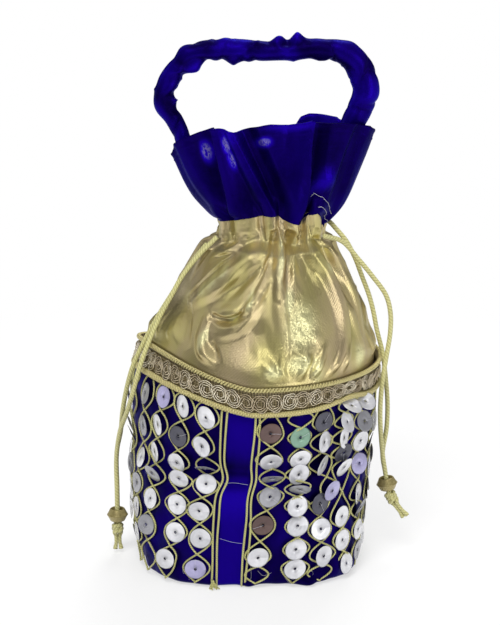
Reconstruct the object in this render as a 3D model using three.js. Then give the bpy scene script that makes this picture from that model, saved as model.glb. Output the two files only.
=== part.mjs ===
import * as THREE from "three";
import { ParametricGeometry } from "three/addons/geometries/ParametricGeometry.js";
import { mergeVertices } from "three/addons/utils/BufferGeometryUtils.js";

// A drawstring potli bag in millimetres: +Z up, front facing -Y, standing on its base at z = 0.

// Outline of the bag, from the floor up
const baseHalfWidth = 48.5;
const bellyHalfWidth = 57.5;
const neckHalfWidth = 25;
const neckHalfDepth = 20;
const rimHalfWidth = 47;
const rimHalfDepth = 19;
const trimTop = 97;
const trimHeight = 13;
const neckRise = 64;
const channelHeight = 6;
const ruffleHeight = 40;

// How the filled cloth sits: it leans to its right, twists at the foot and creases across the middle
const footShift = -2.3;
const neckLean = 9.3;
const footTwist = THREE.MathUtils.degToRad(-4.6);
const baseSquareness = 3.2;
const creaseHeight = 57;
const creaseDepth = 1.2;
const creaseReach = 5;

// At the bag's left the wall's upper edge rides up and draws in, and the trim goes with it
const liftAngle = THREE.MathUtils.degToRad(-155);
const liftEdge = 0.42;
const trimLift = 10.5;
const trimTuck = 6;

// Cloth and sewing
const clothThickness = 1.5;
const seamGap = 0.3;
const gathers = 18;
const gatherDepth = 2.4;
const flutes = 8;
const fluteDepth = 4;
const rimLeftDroop = 10;
const rimBackDrop = 8;
const basePanelThickness = 2;

// Lace trim
const trimThickness = 1.3;
const laceRings = 50;
const laceRingRelief = 0.6;

// Sequins and the plain strip
const sequinDiameter = 10;
const sequinThickness = 0.5;
const sequinMargin = 6;
const sequinLift = 0.5;
const columnPitch = 13.6;
const stripAngle = THREE.MathUtils.degToRad(-95.6);
const stripWidth = 12.6;
const zariDiameter = 1.1;
const zariPitch = 2.2;
const columnMargin = 7;

// Padded handle
const handleHalfSpan = 46.4;
const handleRise = 32.3;
const handleLean = 5.3;
const handleFootRadius = 3.4;
const handleCrownRadius = 5.1;
const handleRightRadius = 5.7;
const handleFootDepth = 13;
const sleeveThickness = 1.2;
const ruchingRelief = 0.3;
const handleSteps = 24;
const handleSides = 8;

// Drawcords, beads and knots
const cordDiameter = 2.2;
const cordSides = 8;
const beadDiameter = 10;
const beadHeight = 6;
const beadFaceDiameter = 6.6;
const boreClearance = 0.4;
const strandGap = 0.3;
const knotDiameter = 6;
const tailDiameter = 3.4;

// Finish of each material
const satinBlue = { color: 0x16009c, roughness: 0.38, metalness: 0 };
const lameGold = { color: 0xbfae6e, roughness: 0.34, metalness: 0.6 };
const laceGold = { color: 0xc2b077, roughness: 0.4, metalness: 0.5 };
const silverFilm = { color: 0xe6e6ea, roughness: 0.16, metalness: 0.9 };
const zariGold = { color: 0xd9cf7e, roughness: 0.45, metalness: 0.4 };
const cordYellow = { color: 0xdcd49b, roughness: 0.5, metalness: 0 };
const beadOlive = { color: 0x9d9151, roughness: 0.35, metalness: 0.3 };
const boardGrey = { color: 0x8c8a84, roughness: 0.9, metalness: 0 };
const paddingWhite = { color: 0xf0f0ee, roughness: 0.95, metalness: 0 };

// Heights that follow from the sizes above
const trimBottom = trimTop - trimHeight;
const bodyTop = trimTop - trimHeight / 2;
const neckHeight = trimTop + neckRise;
const seamHeight = neckHeight + channelHeight;
const rimHeight = seamHeight + ruffleHeight;
const wallHeights = [0, 2.5, 12, 30, creaseHeight - 10, creaseHeight, creaseHeight + 10, trimBottom - 4];

const { clamp, degToRad, lerp, smoothstep } = THREE.MathUtils;
const fullTurn = 2 * Math.PI;

// Share of the way from the trim to the drawn neck.
function neckShare(z) {
  return clamp((z - trimTop) / neckRise, 0, 1);
}

// The cloth runs down straight from the neck and rounds in just below it.
function narrowing(z) {
  const share = neckShare(z);
  return 0.82 * share + 0.18 * share ** 4;
}

// The wall bulges out fast above the floor and stands nearly upright higher up.
function wallHalfWidth(z) {
  const share = clamp(z / trimTop, 0, 1);
  return lerp(baseHalfWidth, bellyHalfWidth, share ** 0.4);
}

function halfWidthAt(z) {
  return lerp(wallHalfWidth(z), neckHalfWidth, narrowing(z));
}

function halfDepthAt(z) {
  return lerp(wallHalfWidth(z), neckHalfDepth, narrowing(z));
}

// The middle of the bag, seen from the front.
function centreAt(z) {
  const foot = footShift * (1 - smoothstep(z, trimBottom / 3, trimBottom));
  return foot + neckLean * neckShare(z);
}

// 2 is a round section; larger values fill the corners of a square.
function squarenessAt(z) {
  const share = clamp(1 - z / trimBottom, 0, 1);
  return lerp(2, baseSquareness, share ** 2);
}

function twistAt(z) {
  return footTwist * clamp(1 - z / trimTop, 0, 1) ** 2;
}

// 1 at the lifted side, falling to 0 before the front's middle and the right side.
function liftedShare(angle) {
  return clamp((Math.cos(angle - liftAngle) - liftEdge) / (1 - liftEdge), 0, 1) ** 1.3;
}

// How far the cloth rides up, from the crease to the middle of the upper.
function liftAt(angle, z) {
  const rising = smoothstep(z, creaseHeight - 7, trimBottom);
  const settling = 1 - smoothstep(z, trimTop, trimTop + 43);
  return trimLift * liftedShare(angle) * rising * settling;
}

// How far the cloth draws in, most of all at the trim's top.
function tuckAt(angle, z) {
  const rising = smoothstep(z, trimBottom - 12, trimTop + 5);
  const settling = 1 - smoothstep(z, trimTop + 7, trimTop + 53);
  return trimTuck * liftedShare(angle) * rising * settling;
}

// Depth of the crease across the body and of the gathers under the drawn neck.
function foldAt(angle, z) {
  const crease = creaseDepth * Math.exp(-(((z - creaseHeight) / creaseReach) ** 2));
  const gather = gatherDepth * neckShare(z) ** 1.5 * Math.cos(gathers * angle);
  return gather - crease;
}

// A point on a rounded section: 'out' is how far it stands off the cloth's outer face.
function sectionPoint(angle, out, halfWidth, halfDepth, squareness, centre, z) {
  const cosine = Math.cos(angle);
  const sine = Math.sin(angle);
  const fill = (Math.abs(cosine) ** squareness + Math.abs(sine) ** squareness) ** (-1 / squareness);
  const x = centre + (halfWidth + out) * fill * cosine;
  const y = (halfDepth + out) * fill * sine;
  return new THREE.Vector3(x, y, z);
}

function bagPoint(angle, out, z) {
  const reach = out + foldAt(angle, z) - tuckAt(angle, z);
  const height = z + liftAt(angle, z);
  return sectionPoint(angle, reach, halfWidthAt(z), halfDepthAt(z), squarenessAt(z), centreAt(z), height);
}

// The rim hangs lower at the left and at the back.
function rimHeightAt(angle) {
  const left = (1 - Math.cos(angle)) / 2;
  const back = (1 + Math.sin(angle)) / 2;
  return rimHeight - rimLeftDroop * left ** 2 - rimBackDrop * back;
}

// The ruffle opens like a trumpet, in flutes that are deepest at the rim.
function rufflePoint(angle, out, share) {
  const flare = share ** 0.65;
  const halfWidth = lerp(neckHalfWidth, rimHalfWidth, flare);
  const halfDepth = lerp(neckHalfDepth, rimHalfDepth, flare);
  const depth = lerp(fluteDepth / 3, fluteDepth, share) * Math.abs(Math.sin(angle));
  const flute = -depth * Math.cos(flutes * (angle + Math.PI / 2));
  const z = lerp(seamHeight + seamGap, rimHeightAt(angle), share);
  return sectionPoint(angle, out + flute, halfWidth, halfDepth, 2, neckLean, z);
}

// Every solid is one closed skin that faces out.
function closed(geometry) {
  geometry.deleteAttribute("normal");
  geometry.deleteAttribute("uv");
  const merged = mergeVertices(geometry, 1e-4);
  const { array: corners } = merged.index;
  const [a, b, c] = [new THREE.Vector3(), new THREE.Vector3(), new THREE.Vector3()];
  let volume = 0;
  for (let i = 0; i < corners.length; i += 3) {
    a.fromBufferAttribute(merged.attributes.position, corners[i]);
    b.fromBufferAttribute(merged.attributes.position, corners[i + 1]);
    c.fromBufferAttribute(merged.attributes.position, corners[i + 2]);
    volume += a.dot(b.cross(c));
  }
  if (volume < 0) {
    corners.reverse();
  }
  return merged;
}

// Carries a closed profile, a list of places, round the bag.
function ring(profile, segments, pointAt) {
  const surface = (u, v, target) => {
    const step = Math.round(u * segments) % segments;
    const corner = Math.round(v * profile.length) % profile.length;
    const [out, height] = profile[corner];
    target.copy(pointAt((fullTurn * step) / segments, out, height));
  };
  return closed(new ParametricGeometry(surface, segments, profile.length));
}

// Joins a row of closed sections, each with as many corners, and shuts both ends.
function loft(sections) {
  const sides = sections[0].length;
  const corners = [];
  for (let row = 0; row < sections.length - 1; row += 1) {
    for (let side = 0; side < sides; side += 1) {
      const near = row * sides + side;
      const next = row * sides + ((side + 1) % sides);
      corners.push(near, next, near + sides, next, next + sides, near + sides);
    }
  }
  const last = (sections.length - 1) * sides;
  for (let side = 1; side < sides - 1; side += 1) {
    corners.push(0, side + 1, side, last, last + side, last + side + 1);
  }
  const geometry = new THREE.BufferGeometry().setFromPoints(sections.flat());
  geometry.setIndex(corners);
  return closed(geometry);
}

// A round section along a curve; its radius depends on the share of the way along.
function rope(curve, radiusAt, sides, steps) {
  const frames = curve.computeFrenetFrames(steps, false);
  const sections = frames.normals.map((normal, step) => {
    const middle = curve.getPointAt(step / steps);
    const radius = radiusAt(step / steps);
    return Array.from({ length: sides }, (_, side) => {
      const angle = (fullTurn * side) / sides;
      const point = middle.clone().addScaledVector(normal, radius * Math.cos(angle));
      return point.addScaledVector(frames.binormals[step], radius * Math.sin(angle));
    });
  });
  return loft(sections);
}

// A plain cord: a regular section pushed along a curve.
function cord(points, diameter, sides, steps) {
  const section = new THREE.Shape();
  for (let side = 0; side < sides; side += 1) {
    const angle = (fullTurn * side) / sides;
    const corner = [(diameter / 2) * Math.cos(angle), (diameter / 2) * Math.sin(angle)];
    if (side === 0) {
      section.moveTo(...corner);
    } else {
      section.lineTo(...corner);
    }
  }
  const path = new THREE.CatmullRomCurve3(points, false, "centripetal");
  return closed(new THREE.ExtrudeGeometry(section, { steps, extrudePath: path, bevelEnabled: false }));
}

const bodySegments = 42;
const bag = new THREE.Group();

function add(name, geometry, finish) {
  const mesh = new THREE.Mesh(geometry, new THREE.MeshStandardMaterial(finish));
  mesh.name = name;
  bag.add(mesh);
  return mesh;
}

// Body wall: an open tube of cloth, from the floor to the middle of the trim
function bodyWall() {
  const innerHeights = [12, 0];
  const outer = wallHeights.map((z) => [0, z]);
  const inner = innerHeights.map((z) => [-clothThickness, z]);
  const top = [[0, bodyTop], [-clothThickness, bodyTop]];
  return ring([...outer, ...top, ...inner], bodySegments, bagPoint);
}

function basePanel() {
  const outline = new THREE.Shape();
  for (let side = 0; side < bodySegments; side += 1) {
    const rim = bagPoint((fullTurn * side) / bodySegments, -clothThickness - seamGap, 0);
    if (side === 0) {
      outline.moveTo(rim.x, rim.y);
    } else {
      outline.lineTo(rim.x, rim.y);
    }
  }
  return closed(new THREE.ExtrudeGeometry(outline, { depth: basePanelThickness, bevelEnabled: false }));
}

// Gold upper: it starts over the wall's top edge and gathers into the drawn neck
function goldUpper() {
  const foot = bodyTop + 2 * seamGap;
  const outer = [0, 0.25, 0.5, 0.73, 0.9].map((share) => [0, lerp(foot, seamHeight, share)]);
  const inner = [0.9, 0.65, 0].map((share) => [-clothThickness, lerp(foot, seamHeight, share)]);
  const top = [[0, seamHeight], [-clothThickness, seamHeight]];
  return ring([...outer, ...top, ...inner], 4 * gathers, bagPoint);
}

function collarRuffle() {
  const outer = [0, 0.33, 0.68, 1].map((share) => [0, share]);
  const inner = [1, 0.5, 0].map((share) => [-clothThickness, share]);
  return ring([...outer, ...inner], 8 * flutes, rufflePoint);
}

// Lace trim: two raised edges with a row of rings between them
function laceTrim() {
  const middle = (trimTop + trimBottom) / 2;
  const edge = seamGap + trimThickness;
  const outside = [trimBottom, middle, trimTop].map((z) => [edge, z]);
  const profile = [[seamGap, trimBottom], ...outside, [seamGap, trimTop]];
  const pointAt = (angle, out, z) => {
    const relief = z === middle ? laceRingRelief * Math.cos(laceRings * angle) : 0;
    return bagPoint(angle, out + relief, z);
  };
  return ring(profile, 2 * laceRings, pointAt);
}

// Angle round the body of a distance along the belly, measured from the plain strip's middle.
function stripOffset(distance) {
  return stripAngle + distance / bellyHalfWidth;
}

function zariLine(distance) {
  const out = seamGap + zariDiameter / 2;
  const high = trimBottom - seamGap - zariDiameter / 2;
  const points = [...wallHeights.slice(1), high].map((z) => {
    return bagPoint(stripOffset(distance) + twistAt(z), out, z);
  });
  return cord(points, zariDiameter, 6, 8);
}

// A column of eight-sided sequins sewn edge to edge and laid on the wall
const sequinRows = Math.floor((trimBottom - 2 * sequinMargin) / sequinDiameter);

function sequinString(angle) {
  const apothem = sequinDiameter / 2;
  const halfEdge = apothem * Math.tan(Math.PI / 8);
  const stations = [];
  for (let row = 0; row < sequinRows; row += 1) {
    const z = trimBottom / 2 + (row - (sequinRows - 1) / 2) * sequinDiameter;
    stations.push([halfEdge, z - apothem], [apothem, z - halfEdge], [apothem, z + halfEdge]);
  }
  stations.push([halfEdge, (trimBottom + sequinRows * sequinDiameter) / 2]);
  const sections = stations.map(([reach, z]) => {
    const middle = angle + twistAt(z);
    const spread = reach / halfWidthAt(z);
    return [
      bagPoint(middle - spread, sequinLift, z),
      bagPoint(middle + spread, sequinLift, z),
      bagPoint(middle + spread, sequinLift + sequinThickness, z),
      bagPoint(middle - spread, sequinLift + sequinThickness, z),
    ];
  });
  return loft(sections);
}

// Handle: a ruched sleeve over a padding roll, its two feet tucked inside the rim
function handleFoot(side, radius) {
  const angle = side < 0 ? Math.PI : 0;
  const share = 1 - handleFootDepth / (rimHeightAt(angle) - seamHeight);
  const wall = rufflePoint(angle, -clothThickness, Math.max(share, 0.2));
  const lean = 1.45;
  return new THREE.Vector3(wall.x - side * (radius * lean + seamGap), 0, wall.z);
}

function handleCurve() {
  const shape = [
    [-0.8, -0.33], [-0.91, 0.02], [-1, 0.24], [-0.965, 0.48], [-0.87, 0.66], [-0.7, 0.89], [-0.42, 0.985],
    [-0.05, 0.97], [0.24, 1], [0.55, 1], [0.8, 0.93], [0.94, 0.72], [1, 0.44], [0.945, 0.16], [0.88, -0.04],
  ];
  const arch = shape.map(([across, up]) => {
    return new THREE.Vector3(handleLean + across * handleHalfSpan, 0, rimHeight + up * handleRise);
  });
  const points = [handleFoot(-1, handleFootRadius), ...arch, handleFoot(1, handleRightRadius)];
  return new THREE.CatmullRomCurve3(points, false, "centripetal");
}

function handleRadius(share) {
  const left = lerp(handleFootRadius, handleCrownRadius, smoothstep(share, 0.1, 0.26));
  return lerp(left, handleRightRadius, smoothstep(share, 0.62, 0.74));
}

// An open-ended tube: the outer skin runs out along the curve and the inner one runs back.
function handleSleeve(curve) {
  const frames = curve.computeFrenetFrames(handleSteps, false);
  const skin = (u, v, target) => {
    const leg = Math.round(u * 2 * (handleSteps + 1)) % (2 * (handleSteps + 1));
    const outside = leg <= handleSteps;
    const step = outside ? leg : 2 * handleSteps + 1 - leg;
    const share = step / handleSteps;
    const ruched = handleRadius(share) + ruchingRelief * Math.cos(Math.PI * step);
    const radius = outside ? ruched : handleRadius(share) - sleeveThickness;
    const angle = (fullTurn * (Math.round(v * handleSides) % handleSides)) / handleSides;
    target.copy(curve.getPointAt(share));
    target.addScaledVector(frames.normals[step], radius * Math.cos(angle));
    target.addScaledVector(frames.binormals[step], radius * Math.sin(angle));
  };
  return closed(new ParametricGeometry(skin, 2 * (handleSteps + 1), handleSides));
}

function handleCore(curve) {
  const radius = (share) => handleRadius(share) - sleeveThickness - seamGap;
  return rope(curve, radius, handleSides, handleSteps);
}

// Drawcord routes, by hand: each strand leaves the channel, hugs the gold cloth and hangs clear of the body
const strandPitch = cordDiameter + strandGap;
const beadTilt = { left: 0, right: degToRad(-9) };
const beadPlace = {
  left: new THREE.Vector3(-64.3, -7, 19.4),
  right: new THREE.Vector3(62.9, -6.5, 34.7),
};

function vectors(list) {
  return list.map(([x, y, z]) => new THREE.Vector3(x, y, z));
}

// The straight end of a strand, from above the bead down to its lower face.
function strandEnd(side, strand, reach) {
  const axis = new THREE.Vector3(Math.sin(beadTilt[side]), 0, Math.cos(beadTilt[side]));
  const across = new THREE.Vector3(0, (strand * strandPitch) / 2, 0);
  const heights = [reach, (reach - beadHeight / 2) / 2, -beadHeight / 2];
  return heights.map((height) => beadPlace[side].clone().add(across).addScaledVector(axis, height));
}

const routes = {
  drawcord_left_front: [["left", -1, 28], [
    [-16.5, -20.5, 157], [-25, -19, 148], [-32.6, -19, 138], [-36.9, -19.9, 130.4], [-43, -21, 119.1],
    [-48.2, -26.6, 107.9], [-51.8, -30.4, 98.3], [-54.8, -29, 86.9], [-58.2, -22.8, 75], [-62, -14.5, 63],
  ]],
  drawcord_left_back: [["left", 1, 30], [
    [-21, -16.5, 153], [-25.5, -16, 147.5], [-31.3, -16.6, 139.5], [-36.2, -16.2, 131.1], [-43, -16.8, 120.1],
    [-49.8, -21.5, 108.5], [-54.9, -25, 97.9], [-58.2, -21.8, 85.9], [-60.6, -16.4, 73], [-62, -9.5, 61.5],
  ]],
  drawcord_right_front: [["right", -1, 14], [
    [31.5, -20.5, 157.5], [40.3, -14.5, 153.5], [47.5, -12, 145], [54.6, -10.5, 136], [60.8, -9.6, 127],
    [63, -9.4, 118.5], [63, -9.6, 109], [61.4, -11.6, 99], [59.8, -14.4, 90], [58.8, -15.5, 80],
    [58.8, -14, 68],
  ]],
  drawcord_right_back: [["right", 1, 14], [
    [36.5, -10.5, 158], [42.6, -6, 152.5], [46.6, -4.5, 143.5], [50, -4, 134.5], [53.2, -4, 126],
    [55.4, -4, 118], [57.2, -4.2, 109], [59.9, -4.6, 98.5], [61.6, -5, 86], [62.6, -5.2, 74],
    [62.4, -5.2, 62],
  ]],
};

function drawcord([[side, strand, reach], free]) {
  return cord([...vectors(free), ...strandEnd(side, strand, reach)], cordDiameter, cordSides, 16);
}

// Bead: a turned bicone whose bore takes both strands
function bead() {
  const bore = cordDiameter + strandGap / 2 + boreClearance;
  const profile = [
    [bore, -beadHeight / 2], [beadFaceDiameter / 2, -beadHeight / 2], [beadDiameter / 2, 0],
    [beadFaceDiameter / 2, beadHeight / 2], [bore, beadHeight / 2], [bore, -beadHeight / 2],
  ];
  const turned = new THREE.LatheGeometry(profile.map(([r, z]) => new THREE.Vector2(r, z)), 14);
  turned.rotateX(Math.PI / 2);
  return closed(turned);
}

// Knot and tail: fat under the bead, drawn in below and flared at the cut end
function knot(route) {
  const radiusAt = (share) => {
    const belly = lerp(knotDiameter, tailDiameter, smoothstep(share, 0.15, 0.6)) / 2;
    return share === 0 ? belly * 0.7 : belly;
  };
  return rope(new THREE.CatmullRomCurve3(route), radiusAt, 8, 6);
}

add("embroidered_body", bodyWall(), satinBlue);
add("base_panel", basePanel(), boardGrey);
add("gold_upper", goldUpper(), lameGold);
add("collar_ruffle", collarRuffle(), satinBlue);
add("lace_trim", laceTrim(), laceGold);

const handlePath = handleCurve();
add("handle_sleeve", handleSleeve(handlePath), satinBlue);
add("handle_core", handleCore(handlePath), paddingWhite);

const innerLine = stripWidth / 2;
const outerLine = innerLine + zariPitch;
add("zari_left_outer", zariLine(-outerLine), zariGold);
add("zari_left_inner", zariLine(-innerLine), zariGold);
add("zari_right_inner", zariLine(innerLine), zariGold);
add("zari_right_outer", zariLine(outerLine), zariGold);

const firstColumn = outerLine + columnMargin;
const embroideredLength = fullTurn * bellyHalfWidth - 2 * firstColumn;
const sequinColumns = Math.round(embroideredLength / columnPitch) + 1;
for (let column = 0; column < sequinColumns; column += 1) {
  const distance = firstColumn + (embroideredLength * column) / (sequinColumns - 1);
  const number = String(column + 1).padStart(2, "0");
  add(`sequin_string_${number}`, sequinString(stripOffset(distance)), silverFilm);
}

for (const [name, route] of Object.entries(routes)) {
  add(name, drawcord(route), cordYellow);
}

for (const side of ["left", "right"]) {
  const mesh = add(`bead_${side}`, bead(), beadOlive);
  mesh.position.copy(beadPlace[side]);
  mesh.rotation.y = beadTilt[side];
}
// Where each knot starts under its bead, bends and ends, measured from the bead's middle
const knotRoutes = {
  left: [[0, 0, -3.3], [0, 0, -10.4], [0.1, 0, -17.6]],
  right: [[0.5, 0, -3.3], [3.6, 0, -9.3], [9.1, 0, -16.7]],
};
for (const side of ["left", "right"]) {
  const route = vectors(knotRoutes[side]).map((point) => point.add(beadPlace[side]));
  add(`knot_${side}`, knot(route), cordYellow);
}

export default bag;
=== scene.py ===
"""A drawstring potli bag: sequinned body, gathered gold upper, fluted collar, padded handle, beaded cords."""
import math

import bpy
import numpy as np
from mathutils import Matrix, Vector


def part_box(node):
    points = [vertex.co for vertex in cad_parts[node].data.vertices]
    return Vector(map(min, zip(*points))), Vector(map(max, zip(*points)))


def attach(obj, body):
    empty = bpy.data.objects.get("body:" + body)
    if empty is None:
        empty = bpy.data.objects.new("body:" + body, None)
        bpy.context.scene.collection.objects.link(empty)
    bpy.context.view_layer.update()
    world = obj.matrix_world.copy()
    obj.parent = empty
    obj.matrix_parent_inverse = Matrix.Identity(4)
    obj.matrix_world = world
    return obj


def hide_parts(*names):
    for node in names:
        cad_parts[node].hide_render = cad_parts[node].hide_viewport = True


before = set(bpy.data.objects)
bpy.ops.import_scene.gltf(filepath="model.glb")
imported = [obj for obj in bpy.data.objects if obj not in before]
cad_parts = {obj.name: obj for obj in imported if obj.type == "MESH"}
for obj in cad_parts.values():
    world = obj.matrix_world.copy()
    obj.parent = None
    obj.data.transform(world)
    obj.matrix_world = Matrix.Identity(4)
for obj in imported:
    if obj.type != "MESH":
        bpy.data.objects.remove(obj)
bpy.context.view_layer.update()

# Lengths below are in millimetres and angles in radians; meshes are made in metres.
MM = 0.001
TURN = 2 * math.pi


def heights_of(node):
    """Lowest and highest level of a solid of the frame, in millimetres."""
    low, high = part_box(node)
    return low.z / MM, high.z / MM


# Outline of the bag, as in the frame's solids
TRIM_BOTTOM = heights_of("lace_trim")[0]
TRIM_HEIGHT = 13
TRIM_TOP = TRIM_BOTTOM + TRIM_HEIGHT
SEAM = heights_of("gold_upper")[1]
BODY_TOP = (TRIM_BOTTOM + TRIM_TOP) / 2
NECK_RISE = 64
RUFFLE_HEIGHT = 40
RIM = SEAM + RUFFLE_HEIGHT
BASE_HALF = 48.5
BELLY_HALF = 57.5
NECK_HALF_WIDTH = 25
NECK_HALF_DEPTH = 20
RIM_HALF_WIDTH = 47
RIM_HALF_DEPTH = 19
WALL_SWELL = 0.4
SHOULDER = 0.18
RUFFLE_FLARE = 0.65

# How the filled cloth sits. The trim is lifted and tucked in at the left, which fades out over these heights
FOOT_SHIFT = -2.3
NECK_LEAN = 9.3
FOOT_TWIST = math.radians(-4.6)
ROUND = 2
BASE_SQUARENESS = 3.2
CREASE_HEIGHT = 57
CREASE_DEPTH = 1.2
CREASE_REACH = 5
LIFT_ANGLE = math.radians(-155)
LIFT_EDGE = 0.42
LIFT_FALL = 1.3
TRIM_LIFT = 10.5
LIFT_BELOW = 7
LIFT_ABOVE = 43
TRIM_TUCK = 8
TUCK_BELOW = 12
TUCK_ABOVE = 53
FLUTES = 8
FLUTE_DEPTH = 4
RIM_LEFT_DROOP = 10
RIM_BACK_DROP = 8
RIM_SHIFT = -0.9
CLOTH = 1.2

# Embroidery
STRIP_ANGLE = math.radians(-95.6)
STRIP_HALF = 6.3
ZARI_PITCH = 2.2
COLUMNS = sum(name.startswith("sequin_string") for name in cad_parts)
FIRST_COLUMN = STRIP_HALF + ZARI_PITCH + 7
SEQUIN_RADIUS = 5
SEQUIN_PITCH = 12
HIGHEST_SEQUIN = 78.5
SEQUIN_HOLE = 0.65
COUCHED_RADIUS = 0.44
COUCHING_REACH = 6
ZARI_RADIUS = 0.5
THREAD_RADIUS = 0.055

# Drawcords and beads
CORD_RADIUS = 1.1
STRAND_PITCH = 2.5
BEAD_HEIGHT = 6
BEAD_RADIUS = 5
BEAD_FACE_RADIUS = 3.3
BEAD_BORE = 2.75
BEAD_PLACE = {"left": (-64.3, -7, 19.4), "right": (62.9, -6.5, 34.7)}
BEAD_TILT = {"left": 0, "right": math.radians(-9)}


def lerp(start, end, share):
    return start + (end - start) * share


def smooth(value, low, high):
    share = np.clip((value - low) / (high - low), 0, 1)
    return share * share * (3 - 2 * share)


def hump(value, middle, reach):
    """A soft hump that is 1 at its middle."""
    return np.exp(-(((value - middle) / reach) ** 2))


def unit(vectors):
    return vectors / np.maximum(np.linalg.norm(vectors, axis=-1, keepdims=True), 1e-9)


def wrapped(angle):
    """The same angle from half a turn back to half a turn on."""
    return (angle + math.pi) % TURN - math.pi


def degrees_of(angle):
    """The angle in degrees, from -180 to 180."""
    return (np.degrees(angle) + 180) % 360 - 180


def full_turn(count):
    """Even angles round a full turn."""
    return np.linspace(0, TURN, count, endpoint=False)


def circle(angles, first, second):
    """Directions at angles from the first towards the second, which is square to it."""
    return np.cos(angles)[..., None] * first + np.sin(angles)[..., None] * second


def ripples(points, wavelength, seed, waves=7):
    """Seeded unevenness of about that wavelength, mostly from -1 to 1."""
    chance = np.random.default_rng(seed)
    directions = unit(chance.normal(size=(waves, 3)))
    lengths = wavelength * chance.uniform(0.7, 1.5, waves)
    phases = chance.uniform(0, TURN, waves)
    return np.sin(points @ (directions / lengths[:, None]).T * TURN + phases).sum(-1) / math.sqrt(waves)


# The bag's shape
def neck_share(z):
    """0 up to the trim's top and 1 at the neck."""
    return np.clip((z - TRIM_TOP) / NECK_RISE, 0, 1)


def narrowing(z):
    """How far the upper has drawn in, from 0 to 1."""
    share = neck_share(z)
    return lerp(share, share**4, SHOULDER)


def wall_half(z):
    """Half the wall's width and depth at a height."""
    return lerp(BASE_HALF, BELLY_HALF, np.clip(z / TRIM_TOP, 0, 1) ** WALL_SWELL)


def lifted_share(angle):
    """1 at the side where the trim rides up, and 0 at the front's middle and the right."""
    return np.clip((np.cos(angle - LIFT_ANGLE) - LIFT_EDGE) / (1 - LIFT_EDGE), 0, 1) ** LIFT_FALL


def lift_at(angle, z):
    """How far the cloth is lifted at a level."""
    rising = smooth(z, CREASE_HEIGHT - LIFT_BELOW, TRIM_BOTTOM)
    settling = 1 - smooth(z, TRIM_TOP, TRIM_TOP + LIFT_ABOVE)
    return TRIM_LIFT * lifted_share(angle) * rising * settling


def tuck_at(angle, z):
    """How far the cloth is tucked in at a level."""
    rising = smooth(z, TRIM_BOTTOM - TUCK_BELOW, TRIM_TOP + 5)
    settling = 1 - smooth(z, TRIM_TOP + 7, TRIM_TOP + TUCK_ABOVE)
    return TRIM_TUCK * lifted_share(angle) * rising * settling


def twist_at(z):
    """How far the wall's foot is twisted round."""
    return FOOT_TWIST * np.clip(1 - z / TRIM_TOP, 0, 1) ** 2


def section(angle, out, half_width, half_depth, squareness, centre, z):
    """Points on a rounded section, 'out' from the cloth's outer face. A squareness of 2 is an ellipse."""
    cosine, sine = np.cos(angle), np.sin(angle)
    fill = (np.abs(cosine) ** squareness + np.abs(sine) ** squareness) ** (-1 / squareness)
    x = centre + (half_width + out) * fill * cosine
    y = (half_depth + out) * fill * sine
    return np.stack(np.broadcast_arrays(x, y, z), -1).astype(float)


def bag_point(angle, out, z):
    """Points on the body and the upper, without the gathers."""
    angle, out, z = np.broadcast_arrays(np.asarray(angle, float), out, np.asarray(z, float))
    half_width = lerp(wall_half(z), NECK_HALF_WIDTH, narrowing(z))
    half_depth = lerp(wall_half(z), NECK_HALF_DEPTH, narrowing(z))
    centre = FOOT_SHIFT * (1 - smooth(z, TRIM_BOTTOM / 3, TRIM_BOTTOM)) + NECK_LEAN * neck_share(z)
    squareness = lerp(ROUND, BASE_SQUARENESS, np.clip(1 - z / TRIM_BOTTOM, 0, 1) ** 2)
    reach = out - CREASE_DEPTH * hump(z, CREASE_HEIGHT, CREASE_REACH) - tuck_at(angle, z)
    return section(angle, reach, half_width, half_depth, squareness, centre, z + lift_at(angle, z))


def wall_point(distance, out, z):
    """Points on the body wall, by the distance round the belly from the plain strip's middle."""
    return bag_point(STRIP_ANGLE + np.asarray(distance) / BELLY_HALF + twist_at(np.asarray(z, float)), out, z)


def wall_axes(distance, z):
    """Place on the wall, and its directions to the right, up and outward."""
    spot = wall_point(distance, 0, z)
    right = unit(wall_point(distance + 0.5, 0, z) - spot)
    up = unit(wall_point(distance, 0, z + 0.5) - spot)
    return spot, right, up, unit(np.cross(right, up))


def value_at(angle, pairs):
    """Reads (degrees, value) pairs, which run from -180 to 180 degrees, at an angle."""
    return np.interp(degrees_of(angle), *zip(*pairs))


# How far the ruffle's rim and its seam rise at each number of degrees round the bag
RIM_RISE = [
    (-180, -2.8), (-168, -1.6), (-160, 1.5), (-143, 4.1), (-128, 5.8), (-120, 5.2), (-110, 2.2), (-91, 3.7),
    (-81, 2.6), (-75, 3.2), (-69, 4.2), (-64, 2.2), (-55, 2), (-30, 1.5), (-6, -1), (30, 2.5), (48, 6.2),
    (70, 8), (74, 7), (77, 3), (84, 1), (110, 0), (165, -1.4), (180, -2.8),
]
SEAM_RISE = [
    (-180, -6), (-139, -3.1), (-121, -1), (-102, 0.6), (-86, 0.7), (-80, -1.4), (-72, -2.7), (-59, -4.3),
    (-54, 0.6), (-46, 1), (-30, -3.2), (-14, -7.6), (0, -6.5), (10, -4.5), (45, -3), (90, -1.5), (135, -3),
    (180, -6),
]


def rim_height(angle):
    """Height of the ruffle's rim, which droops to the left and to the back."""
    left = (1 - np.cos(angle)) / 2
    back = (1 + np.sin(angle)) / 2
    return RIM - RIM_LEFT_DROOP * left**2 - RIM_BACK_DROP * back + value_at(angle, RIM_RISE)


def seam_height(angle):
    """Height of the seam between upper and ruffle."""
    return SEAM + value_at(angle, SEAM_RISE)


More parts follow.
